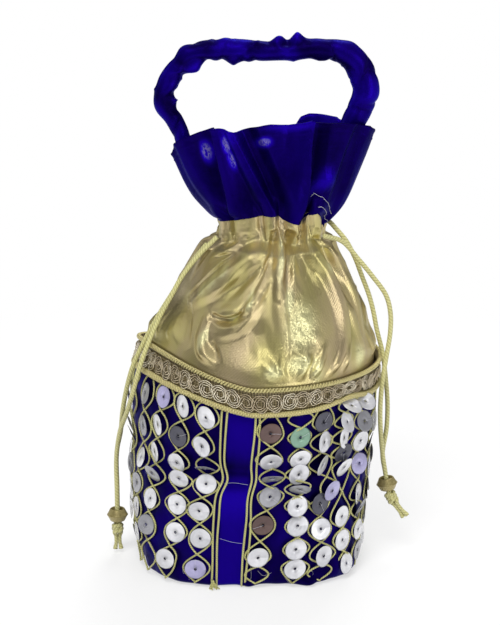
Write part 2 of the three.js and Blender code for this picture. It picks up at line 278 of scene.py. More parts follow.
def ruffle_point(angle, out, share):
    """Points on the ruffle: share 0 is its seam and 1 its rim."""
    flare = np.clip(share, 0, 1) ** RUFFLE_FLARE
    half_width = lerp(NECK_HALF_WIDTH, RIM_HALF_WIDTH, flare)
    half_depth = lerp(NECK_HALF_DEPTH, RIM_HALF_DEPTH, flare)
    back = smooth(np.sin(angle), -0.1, 0.4)
    depth = back * lerp(FLUTE_DEPTH / 3, FLUTE_DEPTH, share) * np.abs(np.sin(angle))
    flute = -depth * np.cos(FLUTES * (angle + math.pi / 2))
    z = lerp(seam_height(angle), rim_height(angle), share)
    centre = NECK_LEAN + RIM_SHIFT * flare
    return section(angle, out + flute, half_width, half_depth, ROUND, centre, z)


# Building meshes
class Work:
    """Gathers grids of points into one mesh, with a map of the cloth's lay and a tone for each point."""

    def __init__(self):
        self.points = []
        self.tones = []
        self.faces = []
        self.lays = []
        self.count = 0

    def grid(self, points, lay=None, around=False, along=False, tone=0.0):
        """Adds rows x columns of points; 'around' joins the columns' ends and 'along' the rows' ends."""
        rows, columns = points.shape[:2]
        index = np.arange(rows * columns).reshape(rows, columns) + self.count
        if around:
            index = np.hstack([index, index[:, :1]])
        if along:
            index = np.vstack([index, index[:1]])
        if lay is None:
            lay = np.zeros((*index.shape, 2))
        for table, kept in ((index, self.faces), (lay, self.lays)):
            corners = [table[:-1, :-1], table[:-1, 1:], table[1:, 1:], table[1:, :-1]]
            kept.append(np.stack(corners, 2).reshape(-1, 4, *table.shape[2:]))
        self.points.append(points.reshape(-1, 3))
        self.tones.append(np.broadcast_to(tone, (rows, columns)).reshape(-1))
        self.count += rows * columns

    def capped(self, rings, starts, ends, lay, tone=0.0):
        """Adds rings as a closed tube that runs to a point at each end."""
        tone = np.broadcast_to(tone, rings.shape[:2])
        rings, lay, tone = (np.concatenate([table[:1], table, table[-1:]]) for table in (rings, lay, tone))
        rings[0] = starts
        rings[-1] = ends
        self.grid(rings, lay, around=True, tone=tone)

    def tube(self, path, radius, sides=8, tone=0.0):
        """Adds a closed round cord along a path."""
        lay = np.stack(np.meshgrid(np.linspace(0, 1, sides + 1), lengths_along(path)), -1)
        self.capped(tube_rows(path, radius, sides), path[0], path[-1], lay, tone)

    def piece(self, name, material, slot, body="bag", replaces=()):
        """Makes the mesh a named piece that rides on a body."""
        mesh = bpy.data.meshes.new(name)
        points = np.concatenate(self.points) * MM
        faces = np.concatenate(self.faces)
        mesh.vertices.add(len(points))
        mesh.vertices.foreach_set("co", points.ravel())
        mesh.loops.add(faces.size)
        mesh.loops.foreach_set("vertex_index", faces.ravel())
        mesh.polygons.add(len(faces))
        mesh.polygons.foreach_set("loop_start", np.arange(0, faces.size, 4))
        mesh.polygons.foreach_set("use_smooth", np.ones(len(faces), bool))
        mesh.update(calc_edges=True)
        mesh.uv_layers.new(name="lay").data.foreach_set("uv", np.concatenate(self.lays).ravel())
        tone = mesh.attributes.new("tone", "FLOAT", "POINT")
        tone.data.foreach_set("value", np.concatenate(self.tones).astype(np.float32))
        mesh.validate()
        mesh.materials.append(material)
        piece = bpy.data.objects.new(name, mesh)
        bpy.context.scene.collection.objects.link(piece)
        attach(piece, body)
        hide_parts(*replaces)
        return piece


def lengths_along(points):
    """How far along its line each point lies."""
    return np.concatenate([[0], np.cumsum(np.linalg.norm(np.diff(points, axis=0), axis=1))])


def even_steps(points, pitch):
    """The same line in even steps of about that pitch."""
    lengths = lengths_along(points)
    wanted = np.linspace(0, lengths[-1], max(2, round(lengths[-1] / pitch) + 1))
    return np.stack([np.interp(wanted, lengths, points[:, axis]) for axis in range(3)], -1)


def between(start, end, first, last, t):
    """The point that moves from start to end while t goes from first to last."""
    return (last - t) / (last - first) * start + (t - first) / (last - first) * end


def through(points, pitch=1.0):
    """A centripetal curve through the points, in even steps."""
    points = [np.array(point, float) for point in points]
    points = [2 * points[0] - points[1], *points, 2 * points[-1] - points[-2]]
    stretches = []
    for a, b, c, d in zip(points, points[1:], points[2:], points[3:]):
        knots = np.cumsum([0] + [math.sqrt(np.linalg.norm(q - p)) for p, q in ((a, b), (b, c), (c, d))])
        t = np.linspace(knots[1], knots[2], 25)[:-1, None]
        first, middle, last = (between(*row, t) for row in zip((a, b, c), (b, c, d), knots, knots[1:]))
        second = between(first, middle, knots[0], knots[2], t)
        third = between(middle, last, knots[1], knots[3], t)
        stretches.append(between(second, third, knots[1], knots[2], t))
    return even_steps(np.vstack([*stretches, points[-2][None]]), pitch)


def axes_along(path):
    """Tangent and two directions across at each point of a path, carried along without twist."""
    tangents = unit(np.gradient(path, axis=0))
    start = np.cross(tangents[0], (0.13, 0.31, 0.94))
    if np.linalg.norm(start) < 0.3:
        start = np.cross(tangents[0], (1, 0, 0))
    across = [unit(start)]
    for tangent in tangents[1:]:
        carried = across[-1] - tangent * (across[-1] @ tangent)
        across.append(carried / np.linalg.norm(carried))
    across = np.array(across)
    return tangents, across, np.cross(tangents, across)


def tube_rows(path, radius, sides):
    """Rings of points round a path; the radius may change along it and round it."""
    _, first, second = axes_along(path)
    radius = np.asarray(radius, float)
    radius = radius.reshape(*radius.shape, *[1] * (2 - radius.ndim))[..., None]
    return path[:, None] + radius * circle(full_turn(sides), first[:, None], second[:, None])


# Nodes
def put(tree, kind, inputs=(), **settings):
    """Places a shader node; inputs gives its sockets their values or the outputs that feed them."""
    node = tree.nodes.new("ShaderNode" + kind)
    for name, value in settings.items():
        setattr(node, name, value)
    for name, value in dict(inputs).items():
        if isinstance(value, bpy.types.NodeSocket):
            tree.links.new(value, node.inputs[name])
        else:
            node.inputs[name].default_value = value
    return node


def sums(tree, operation, first, second=0.0, third=0.0):
    """One Math node's output."""
    return put(tree, "Math", {0: first, 1: second, 2: third}, operation=operation).outputs[0]


def blended(tree, share, first, second, blend_type="MIX"):
    """One colour Mix node's output."""
    inputs = {0: share, 6: first, 7: second}
    return put(tree, "Mix", inputs, data_type="RGBA", blend_type=blend_type).outputs[2]


def effect(name, inputs, outputs, build):
    """A shader node group: build(tree, inside) returns what feeds each output."""
    group = bpy.data.node_groups.new(name, "ShaderNodeTree")
    for way, sockets in (("INPUT", inputs), ("OUTPUT", outputs)):
        for socket, kind in sockets.items():
            group.interface.new_socket(socket, in_out=way, socket_type="NodeSocket" + kind)
    inside = group.nodes.new("NodeGroupInput")
    last = group.nodes.new("NodeGroupOutput")
    for socket, value in build(group, inside.outputs).items():
        group.links.new(value, last.inputs[socket])
    return group


def apply(tree, group, inputs):
    """Places a group and returns its outputs."""
    return put(tree, "Group", inputs, node_tree=group).outputs


def weave_effect():
    """Threads over and under each other, at a slant to the cloth's lay."""
    def build(tree, given):
        slanted = {"Vector": given["Lay"], "Angle": given["Slant"]}
        turned = put(tree, "VectorRotate", slanted, rotation_type="Z_AXIS")
        parts = put(tree, "SeparateXYZ", {0: turned.outputs[0]})
        waves = []
        for axis in (0, 1):
            turns = sums(tree, "DIVIDE", parts.outputs[axis], given["Thread"])
            waves.append(sums(tree, "SINE", sums(tree, "MULTIPLY", turns, math.pi)))
        uncrossed = sums(tree, "SUBTRACT", 1.0, given["Crossing"])
        crossed = sums(tree, "MULTIPLY_ADD", waves[1], given["Crossing"], uncrossed)
        height = sums(tree, "MULTIPLY", waves[0], crossed)
        return {"Height": sums(tree, "MULTIPLY_ADD", height, 0.5, 0.5)}
    sockets = {"Lay": "Vector", "Slant": "Float", "Thread": "Float", "Crossing": "Float"}
    return effect("woven_threads", sockets, {"Height": "Float"}, build)


def dye_effect():
    """Two tints that drift into each other in patches stretched along the lay."""
    def build(tree, given):
        stretch = put(tree, "VectorMath", {0: given["Lay"], 1: (1, 0.45, 1)}, operation="MULTIPLY")
        size = sums(tree, "DIVIDE", 1.0, given["Patch"])
        noise = put(tree, "TexNoise", {"Vector": stretch.outputs[0], "Scale": size, "Detail": 4.0})
        limits = {"Value": noise.outputs[0], "From Min": 0.36, "From Max": 0.64}
        share = put(tree, "MapRange", limits).outputs[0]
        return {"Color": blended(tree, share, given["Tint"], given["Other Tint"]), "Share": share}
    sockets = {"Lay": "Vector", "Patch": "Float", "Tint": "Color", "Other Tint": "Color"}
    return effect("uneven_dye", sockets, {"Color": "Color", "Share": "Float"}, build)


def twist_effect():
    """The slanting plies of a twisted cord, with their grooves and the painted shade in them."""
    def build(tree, given):
        parts = put(tree, "SeparateXYZ", {0: given["Lay"]})
        along = sums(tree, "DIVIDE", parts.outputs[1], given["Pitch"])
        turns = sums(tree, "MULTIPLY_ADD", parts.outputs[0], given["Plies"], along)
        wave = sums(tree, "ABSOLUTE", sums(tree, "SINE", sums(tree, "MULTIPLY", turns, math.pi)))
        # The groove output is painted shade, highest where the plies meet.
        return {"Height": wave, "Groove": sums(tree, "POWER", sums(tree, "SUBTRACT", 1.0, wave), 2.0)}
    sockets = {"Lay": "Vector", "Pitch": "Float", "Plies": "Float"}
    return effect("twisted_plies", sockets, {"Height": "Float", "Groove": "Float"}, build)


def crinkle_effect():
    """Sharp little creases where stiff cloth has been crushed."""
    def build(tree, given):
        size = sums(tree, "DIVIDE", 1.0, given["Size"])
        crushed = {"Vector": given["Lay"], "Scale": size, "Detail": 3.0, "Distortion": 0.7}
        noise = put(tree, "TexNoise", crushed).outputs[0]
        ridge = sums(tree, "ABSOLUTE", sums(tree, "SUBTRACT", noise, 0.5))
        return {"Height": sums(tree, "SUBTRACT", 1.0, sums(tree, "MULTIPLY", ridge, 4.0))}
    return effect("crushed_creases", {"Lay": "Vector", "Size": "Float"}, {"Height": "Float"}, build)


WEAVE = weave_effect()
DYE = dye_effect()
TWIST = twist_effect()
CRINKLE = crinkle_effect()


def plain(name, **sockets):
    """A material whose Principled shader has these values; returns it and its tree."""
    material = bpy.data.materials.new(name)
    material.use_nodes = True
    tree = material.node_tree
    for socket, value in sockets.items():
        tree.nodes["Principled BSDF"].inputs[socket.replace("_", " ")].default_value = value
    return material, tree


def finish_of(name, **sockets):
    """A plain material for pieces of the bag; returns it, its tree and the lay of the cloth."""
    material, tree = plain(name, **sockets)
    return material, tree, put(tree, "UVMap", uv_map="lay").outputs[0]


def tone_of(tree):
    """The tone that each point of the mesh has."""
    return put(tree, "Attribute", attribute_name="tone").outputs["Fac"]


def dressed(material, colour, *bumps, **feeds):
    """Feeds a material its colour, its bumps and what else is given. Bumps lie over each other, and each is a
    height and its depth in millimetres."""
    tree = material.node_tree
    feeds["Base Color"] = colour
    for height, depth in bumps:
        inputs = {"Height": height, "Distance": depth * MM, "Strength": 1.0}
        if "Normal" in feeds:
            inputs["Normal"] = feeds["Normal"]
        feeds["Normal"] = put(tree, "Bump", inputs).outputs[0]
    for socket, value in feeds.items():
        tree.links.new(value, tree.nodes["Principled BSDF"].inputs[socket])
    return material


def satin():
    """Blue satin with painted light: it grows brighter as its tone goes to 1, and from 1 to 2 takes painted
    sheen in pale streaks.
    """
    material, tree, lay = finish_of(
        "satin_blue", Metallic=0.5, Roughness=0.33, Specular_IOR_Level=0.06, Specular_Tint=(0.25, 0.15, 1, 1)
    )
    tints = {"Tint": (0.002, 0.0002, 0.035, 1), "Other Tint": (0.0048, 0.0003, 0.088, 1)}
    dye = apply(tree, DYE, {"Lay": lay, "Patch": 14.0, **tints})
    tone = tone_of(tree)
    # Painted light: a tone up to 1 blends the dye towards a bright blue, as on lit folds.
    lit = sums(tree, "MINIMUM", tone, 1.0)
    colour = blended(tree, lit, dye["Color"], (0.013, 0.0008, 0.4, 1))
    # Painted sheen: a tone above 1 blends in pale lilac streaks that stand in for reflections.
    drawn_out = put(tree, "VectorMath", {0: lay, 1: (1.9, 0.5, 1)}, operation="MULTIPLY").outputs[0]
    grain = {"Vector": drawn_out, "Scale": 0.8, "Detail": 4.0, "Distortion": 1.0}
    sheen_streak_noise = put(tree, "TexNoise", grain).outputs[0]
    streaks = put(tree, "MapRange", {"Value": sheen_streak_noise, "From Min": 0.42, "From Max": 0.55}).outputs[0]
    over = sums(tree, "MAXIMUM", sums(tree, "SUBTRACT", tone, 1.0), 0.0)
    with_painted_sheen = blended(tree, sums(tree, "MULTIPLY", over, streaks), colour, (0.2, 0.17, 0.42, 1))
    weave = apply(tree, WEAVE, {"Lay": lay, "Slant": 0.0, "Thread": 0.28, "Crossing": 1.0})
    crinkle = apply(tree, CRINKLE, {"Lay": lay, "Size": 9.0})
    return dressed(material, with_painted_sheen, (crinkle["Height"], 0.12), (weave["Height"], 0.02))


def lame():
    """Gold lamé, with deeper crinkles and a painted highlight where its tone is high."""
    material, tree, lay = finish_of("gold_lame", Metallic=0.8, Roughness=0.31)
    tints = {"Tint": (0.6, 0.53, 0.22, 1), "Other Tint": (0.6, 0.48, 0.29, 1)}
    dye = apply(tree, DYE, {"Lay": lay, "Patch": 18.0, **tints})
    weave = apply(tree, WEAVE, {"Lay": lay, "Slant": math.radians(38), "Thread": 0.5, "Crossing": 0.35})
    threads = blended(tree, sums(tree, "MULTIPLY", weave["Height"], 0.3), dye["Color"], (0.36, 0.3, 0.1, 1))
    # The tone marks painted highlights; it also deepens the crinkle and glitter bumps.
    crushed = tone_of(tree)
    # Painted highlight: the colour goes towards pale gold where the tone is high.
    bright = blended(tree, sums(tree, "MULTIPLY", crushed, 0.75), threads, (0.98, 0.95, 0.52, 1))
    crinkle = apply(tree, CRINKLE, {"Lay": lay, "Size": 5.0})
    creases = sums(tree, "MULTIPLY", crinkle["Height"], sums(tree, "MULTIPLY_ADD", crushed, 0.36, 0.08))
    grain = put(tree, "TexNoise", {"Vector": lay, "Scale": 0.9, "Detail": 2.0}).outputs[0]
    glitter = sums(tree, "MULTIPLY", grain, sums(tree, "MULTIPLY_ADD", crushed, 2.0, 0.8))
    return dressed(material, bright, (creases, 0.45), (glitter, 0.12), (weave["Height"], 0.05))


# The films of the sequins, and the tone that picks each
SEQUIN_TINTS = [
    (0.92, 0.92, 0.95), (0.42, 0.42, 0.45), (0.1, 0.1, 0.13), (0.16, 0.1, 0.09), (0.27, 0.45, 0.33),
    (0.55, 0.52, 0.8),
]
SILVER, GREY, DARK, BROWN, GREEN, LILAC = (number / len(SEQUIN_TINTS) + 0.02 for number in range(6))


def sequin_film():
    """Foil whose tint goes by the sequin, scuffed a little."""
    material, tree, lay = finish_of("sequin_film", Metallic=0.3, Roughness=0.2)
    ramp = put(tree, "ValToRGB", {"Fac": tone_of(tree)})
    ramp.color_ramp.interpolation = "CONSTANT"
    stops = ramp.color_ramp.elements
    while len(stops) < len(SEQUIN_TINTS):
        stops.new(1.0)
    for number, (stop, tint) in enumerate(zip(stops, SEQUIN_TINTS)):
        stop.position = number / len(SEQUIN_TINTS)
        stop.color = (*tint, 1)
    smudge = put(tree, "TexNoise", {"Vector": lay, "Scale": 0.5, "Detail": 3.0}).outputs[0]
    worn = put(tree, "TexNoise", {"Vector": lay, "Scale": 0.09, "Detail": 0.0}).outputs[0]
    limits = {"Value": worn, "From Min": 0.35, "From Max": 0.65, "To Max": 0.3}
    dullness = sums(tree, "MULTIPLY_ADD", smudge, 0.42, put(tree, "MapRange", limits).outputs[0])
    dulled = blended(tree, dullness, ramp.outputs[0], (0.35, 0.35, 0.38, 1), "MULTIPLY")
    return dressed(material, dulled, (smudge, 0.15), Roughness=sums(tree, "MULTIPLY_ADD", smudge, 0.2, 0.12))


def twisted(name, tint, groove_shade_tint, pitch, plies, depth, **sockets):
    """A cord's finish: plies, with painted shade darkening their grooves."""
    material, tree, lay = finish_of(name, **sockets)
    twist = apply(tree, TWIST, {"Lay": lay, "Pitch": pitch, "Plies": plies})
    # Painted shade: the colour goes towards the groove tint where the plies meet.
    colour = blended(tree, twist["Groove"], (*tint, 1), (*groove_shade_tint, 1))
    return dressed(material, colour, (twist["Height"], depth))


def lace_wire():
    """Crimped gold wire, paler where its tone is high."""
    material, tree, lay = finish_of("lace_wire", Metallic=0.85, Roughness=0.22)
    colour = blended(tree, tone_of(tree), (0.62, 0.52, 0.36, 1), (0.95, 0.88, 0.7, 1))
    twist = apply(tree, TWIST, {"Lay": lay, "Pitch": 0.5, "Plies": 1.0})
    return dressed(material, colour, (twist["Height"], 0.1))


def net():
    """Coarse dull net."""
    material, tree, lay = finish_of("lace_net", Metallic=0.35, Roughness=0.5)
    weave = apply(tree, WEAVE, {"Lay": lay, "Slant": math.radians(45), "Thread": 0.9, "Crossing": 1.0})
    colour = blended(tree, weave["Height"], (0.05, 0.035, 0.015, 1), (0.3, 0.24, 0.12, 1))
    return dressed(material, colour, (weave["Height"], 0.25))


def bead_lacquer():
    """Blotchy olive lacquer on wood."""
    material, tree, lay = finish_of("bead_lacquer", Metallic=0.45, Roughness=0.34)
    noise = put(tree, "TexNoise", {"Vector": lay, "Scale": 0.8, "Detail": 4.0}).outputs[0]
    colour = blended(tree, noise, (0.24, 0.19, 0.07, 1), (0.46, 0.39, 0.17, 1))
    return dressed(material, colour, (noise, 0.1))


def thread(name, tint):
    """Sewing thread, with painted shade darkening the grooves of its twist."""
    material, tree, lay = finish_of(name, Roughness=0.6)
    twist = apply(tree, TWIST, {"Lay": lay, "Pitch": 0.4, "Plies": 1.0})
    # Painted shade: the colour goes towards grey where the plies meet.
    return dressed(material, blended(tree, twist["Groove"], (*tint, 1), (0.2, 0.2, 0.2, 1)))


SATIN = satin()
LAME = lame()
SEQUIN = sequin_film()
# The second tint of each cord is the painted shade in its grooves.
ZARI = twisted(
    "zari_cord", (0.66, 0.64, 0.27), (0.2, 0.19, 0.06), 1.1, 2.0, 0.2, Metallic=0.3, Roughness=0.4
)
DRAWCORD = twisted(
    "drawcord_yellow", (0.6, 0.57, 0.25), (0.34, 0.31, 0.11), 1.6, 3.0, 0.14, Roughness=0.5, Sheen_Weight=0.2
)
ROPE = twisted(
    "trim_rope", (0.72, 0.64, 0.3), (0.22, 0.17, 0.06), 0.8, 2.0, 0.15, Metallic=0.35, Roughness=0.4
)
LACE_WIRE = lace_wire()
LACE_NET = net()
BEAD = bead_lacquer()
WHITE_THREAD = thread("white_thread", (0.6, 0.6, 0.66))


# Camera, light and floor
VIEW_TILT = math.radians(15)
VIEW_DISTANCE = 1.0
VIEW_HEIGHT = 0.112
PIXEL = 0.000465
PHOTO_HEIGHT = 625
# How far the photo's middle lies right of the bag's middle, and above VIEW_HEIGHT in the picture
ASIDE = -0.00163
ABOVE = 0.00413


def face(thing, direction):
    """Turns a camera, lamp or card to face along a direction."""
    thing.rotation_euler = direction.to_track_quat("-Z", "Y").to_euler()


def camera():
    """The photograph's view: a metre away, looking down a little."""
    data = bpy.data.cameras.new("camera")
    data.sensor_width = 36
    data.lens = data.sensor_width * VIEW_DISTANCE / (PHOTO_HEIGHT * PIXEL)
    eye = bpy.data.objects.new("camera", data)
    bpy.context.scene.collection.objects.link(eye)
    forward = Vector((0, math.cos(VIEW_TILT), -math.sin(VIEW_TILT)))
    up = Vector((0, math.sin(VIEW_TILT), math.cos(VIEW_TILT)))
    middle = Vector((ASIDE, 0, VIEW_HEIGHT)) + ABOVE * up
    eye.location = middle - VIEW_DISTANCE * forward
    face(eye, forward)
    bpy.context.scene.camera = eye


# Each lamp's place, size, power, and whether it is mirrored
LAMPS = {
    "key": ((-0.25, -0.7, 1.05), 0.5, 9, False),
    "glint": ((-0.12, -0.62, 1.1), 0.42, 1.7, True),
    "fill": ((0.75, -0.9, 0.4), 0.6, 3, True),
    "back": ((0.15, 0.75, 0.9), 0.6, 6, False),
    "back_glint": ((0.2, 0.6, 1.1), 0.42, 2.2, True),
}
LAMP_AIM = Vector((0, 0, 0.12))


def lamp(name, place, size, power, mirrored):
    """A square soft lamp; one that isn't mirrored lights the surfaces but leaves no highlight."""
    data = bpy.data.lights.new(name, "AREA")
    data.size = size
    data.energy = power
    holder = bpy.data.objects.new(name, data)
    holder.visible_glossy = mirrored
    holder.location = place
    face(holder, LAMP_AIM - holder.location)
    bpy.context.scene.collection.objects.link(holder)


# How white the surround is to a reflection, and to the light that falls on things
MIRRORED_WHITE = 0.62
SURROUND_LIGHT = 0.3
FLOOR_HALF = 3.0


def seen_white(tree):
    """1 for what the camera sees, less for a reflection, and 0 for the light that falls on things."""
    path = put(tree, "LightPath").outputs
    mirrored = sums(tree, "MULTIPLY", path["Is Glossy Ray"], MIRRORED_WHITE)
    return sums(tree, "MAXIMUM", path["Is Camera Ray"], mirrored)


def studio():
    """A pale floor and a white surround, with soft lamps."""
    scene = bpy.context.scene
    scene.view_settings.view_transform = "Standard"
    world = bpy.data.worlds.new("surround")
    scene.world = world
    world.use_nodes = True
    tree = world.node_tree
    background = tree.nodes["Background"]
    background.inputs["Color"].default_value = (1, 1, 1, 1)
    tree.links.new(sums(tree, "MAXIMUM", seen_white(tree), SURROUND_LIGHT), background.inputs["Strength"])

    floor = square("floor", FLOOR_HALF, paper())
    for name, settings in LAMPS.items():
        lamp(name, *settings)
    for name, (place, half) in CARDS.items():
        dark_card(name, place, half)


def square(name, half, material):
    """A flat square of the studio's."""
    mesh = bpy.data.meshes.new(name)
    corners = [(-half, -half, 0), (half, -half, 0), (half, half, 0), (-half, half, 0)]
    mesh.from_pydata(corners, [], [(0, 1, 2, 3)])
    mesh.materials.append(material)
    sheet = bpy.data.objects.new(name, mesh)
    bpy.context.scene.collection.objects.link(sheet)
    return sheet


# Each card's place and half width
CARDS = {
    "card_left": ((-0.85, -0.4, 0.5), 0.42),
    "card_right": ((0.75, -0.35, 0.8), 0.36),
    "card_floor": ((0, -0.62, 0.03), 0.36),
    "card_front": ((0.1, -1.5, 0.6), 0.3),
    "card_back_left": ((-0.6, 0.8, 0.5), 0.36),
    "card_back_right": ((0.75, 0.6, 0.6), 0.36),
    "card_back_floor": ((0, 0.62, 0.03), 0.36),
}
CARD_AIM = Vector((0, 0, 0.13))


def dark_card(name, place, half):
    """A dark card that only reflections see, so that foils and glossy cloth have something to mirror."""
    material, _ = plain(name, Base_Color=(0.02, 0.02, 0.02, 1), Specular_IOR_Level=0)
    card = square(name, half, material)
    card.location = place
    face(card, CARD_AIM - card.location)
    card.visible_camera = card.visible_diffuse = card.visible_shadow = card.visible_transmission = False


def paper():
    """White paper: it keeps the shadow near the object and goes plain white further out."""
    material, tree = plain("floor", Base_Color=(0.9, 0.9, 0.9, 1), Roughness=0.9, Specular_IOR_Level=0.1)
    place = put(tree, "TexCoord").outputs["Object"]
    away = put(tree, "VectorMath", {0: place}, operation="LENGTH").outputs["Value"]
    fade = {"Value": away, "From Min": 0.08, "From Max": 0.45, "To Min": 0.6}
    white = sums(tree, "MULTIPLY", put(tree, "MapRange", fade).outputs[0], seen_white(tree))
    glow = put(tree, "Emission").outputs[0]
    mixed = put(tree, "MixShader", {0: white, 1: tree.nodes["Principled BSDF"].outputs[0], 2: glow})
    tree.links.new(mixed.outputs[0], tree.nodes["Material Output"].inputs["Surface"])
    return material


camera()
studio()


# Drawcords. Each strand: its side, which of the pair it is, how far above the bead its straight part starts,
# and the points it goes through
STRANDS = {
    "left_front": ("left", -1, 28, [
        (-16.5, -20.5, 157), (-25, -19, 148), (-32.6, -19, 138), (-36.9, -19.9, 130.4), (-43, -21, 119.1),
        (-48.2, -26.6, 107.9), (-51.8, -30.4, 98.3), (-54.8, -29, 86.9), (-58.2, -22.8, 75), (-62, -14.5, 63),
    ]),
    "left_back": ("left", 1, 30, [
        (-21, -16.5, 153), (-25.5, -16, 147.5), (-31.3, -16.6, 139.5), (-36.2, -16.2, 131.1),
        (-43, -16.8, 120.1), (-49.8, -21.5, 108.5), (-54.9, -25, 97.9), (-58.2, -21.8, 85.9),
        (-60.6, -16.4, 73), (-62, -9.5, 61.5),
    ]),
    "right_front": ("right", -1, 14, [
        (31.5, -20.5, 157.5), (40.3, -14.5, 153.5), (47.5, -12, 145), (54.6, -10.5, 136), (60.8, -9.6, 127),
        (63, -9.4, 118.5), (63, -9.6, 109), (61.4, -11.6, 99), (59.8, -14.4, 90), (58.8, -15.5, 80),
        (58.8, -14, 68),
    ]),
    "right_back": ("right", 1, 14, [
        (30.8, 1.5, 161.5), (34.8, -0.5, 159.6), (38.2, -3, 156.4), (42.4, -4.8, 151.6), (46.6, -4.5, 143.5),
        (50, -4, 134.5), (53.2, -4, 126), (55.4, -4, 118), (57.2, -4.2, 109), (59.9, -4.6, 98.5),
        (61.6, -5, 86), (62.6, -5.2, 74), (62.4, -5.2, 62),
    ]),
}


def bead_axis(side):
    """Direction of a bead's bore, from below to above."""
    return np.array([math.sin(BEAD_TILT[side]), 0, math.cos(BEAD_TILT[side])])


def strand_path(side, strand, reach, free):
    """A strand's route: its free points, then straight down through the bead."""
    middle = np.array(BEAD_PLACE[side]) + (0, strand * STRAND_PITCH / 2, 0)
    levels = [reach, (reach - BEAD_HEIGHT / 2) / 2, -BEAD_HEIGHT / 2]
    return through([*free, *[middle + level * bead_axis(side) for level in levels]], 0.9)


def drawcords():
    """The four strands, each running straight down into its side's bead."""
    for name, (side, strand, reach, free) in STRANDS.items():
        path = strand_path(side, strand, reach, free)
        work = Work()
        work.tube(path, CORD_RADIUS, sides=14)
        cord = work.piece("cord_" + name, DRAWCORD, "drawcord_yellow", replaces=["drawcord_" + name])


def mirrored_profile(rows, middle):
    """A profile of (radius, level) rows up to its middle, and the same rows again on the other side."""
    return [*rows, middle, *[(radius, -level) for radius, level in reversed(rows)]]


def bead(side):
    """A turned bicone with softened edges and a bore for both strands."""
    half = BEAD_HEIGHT / 2
    below = [
        (BEAD_BORE, 0.3 - half), (BEAD_BORE + 0.25, -half), (BEAD_FACE_RADIUS - 0.15, -half),
        (BEAD_FACE_RADIUS + 0.2, 0.25 - half), (4.2, -1.35), (BEAD_RADIUS - 0.25, -0.28),
    ]
    profile = mirrored_profile(below, (BEAD_RADIUS, 0))
    axis = bead_axis(side)
    ring = circle(full_turn(48), np.cross((0, 1, 0), axis), np.array([0, 1, 0]))
    rows = [np.array(BEAD_PLACE[side]) + radius * ring + level * axis for radius, level in profile]
    lay = np.stack(np.meshgrid(np.linspace(0, 30, 49), np.linspace(0, 20, len(profile) + 1)), -1)
    work = Work()
    work.grid(np.array(rows), lay, around=True, along=True)
    return work.piece(f"turned_bead_{side}", BEAD, "bead_olive", f"{side}_bead", [f"bead_{side}"])


KNOT_TURNS = 1.35
KNOT_LOOP_TURNS = 1.12
KNOT_LOOP_REACH = 1.9
KNOT_ROUTES = {
    "left": [(0, 0, -3.6), (0, 0, -10.4), (0.1, 0, -17.2)],
    "right": [(0.6, 0, -3.6), (3.6, 0, -9.3), (8.9, 0, -16.4)],
}


def knot(side):
    """The strands wrapped round each other under the bead, with two splayed tails."""
    middle = through(np.array(KNOT_ROUTES[side]) + BEAD_PLACE[side], 0.5)
    _, first, second = axes_along(middle)
    lengths = np.linspace(0, 1, len(middle))
    work = Work()
    for strand in (0, 1):
        turn = TURN * KNOT_TURNS * smooth(lengths, 0.02, 0.42) + strand * math.pi + 0.4
        reach = lerp(1.75, 0.85, smooth(lengths, 0.3, 0.55)) + 0.5 * smooth(lengths, 0.75, 1)
        reach = reach * smooth(lengths, -0.06, 0.08)
        offset = reach[:, None] * circle(turn, first, second)
        radius = CORD_RADIUS * lerp(1.05, 0.78, smooth(lengths, 0.35, 0.6)) + 0.25 * smooth(lengths, 0.8, 1)
        work.tube(middle + offset, radius, sides=12)
    steps = 34
    turn = np.linspace(0.2, TURN * KNOT_LOOP_TURNS, steps)
    centres = middle[(np.linspace(0.1, 0.3, steps) * len(middle)).astype(int)]
    loop = centres + KNOT_LOOP_REACH * circle(turn, first[5], second[5])
    work.tube(loop, 0.95, sides=12)
    return work.piece(f"tied_knot_{side}", DRAWCORD, "drawcord_yellow", replaces=[f"knot_{side}"])


beads = {side: bead(side) for side in ("left", "right")}
knots = {side: knot(side) for side in ("left", "right")}
drawcords()


# Folds
FOLD_ROOM = 2.6
CREST_ROUNDING = 0.3
CREST_DROP = 0.55
FOLD_END = 1.3
FOLD_SLOPE = 0.95


def fold_heights(surface, smooth_rows, folds):
    """Height of the folds at each point of a smooth cloth. A fold is (rises, left, right, points): it runs
    through its points, its height goes through the rises, and it falls off over its left and right reach."""
    rows = smooth_rows.reshape(-1, 3)
    column = np.roll(smooth_rows, -1, 1) - smooth_rows
    row = np.gradient(smooth_rows, axis=0)
    outward = unit(np.cross(column, row)).reshape(-1, 3)
    total = np.zeros(len(rows))
    for rises, left, right, points in folds:
        line = through([surface(math.radians(degrees), 0, height) for degrees, height in points], 1.2)
        room = FOLD_ROOM * max(left, right)
        near = np.all((rows > line.min(0) - room) & (rows < line.max(0) + room), axis=1)
        offsets = rows[near][:, None] - line[None]
        closest = np.linalg.norm(offsets, axis=2).argmin(1)
        offset = offsets[np.arange(len(closest)), closest]
        sideways = np.cross(outward[near], unit(np.gradient(line, axis=0))[closest])
        reach = np.where((offset * sideways).sum(1) > 0, right, left)
        distance = np.sqrt((offset**2).sum(1) + CREST_ROUNDING) - CREST_DROP
        height = np.interp(closest / (len(line) - 1), np.linspace(0, 1, len(rises)), rises)
        share = np.clip((FOLD_END - distance / reach) / FOLD_SLOPE, 0, 1)
        total[near] += height * lerp(share, share * share * (3 - 2 * share), 0.5)
    return total.reshape(smooth_rows.shape[:2])


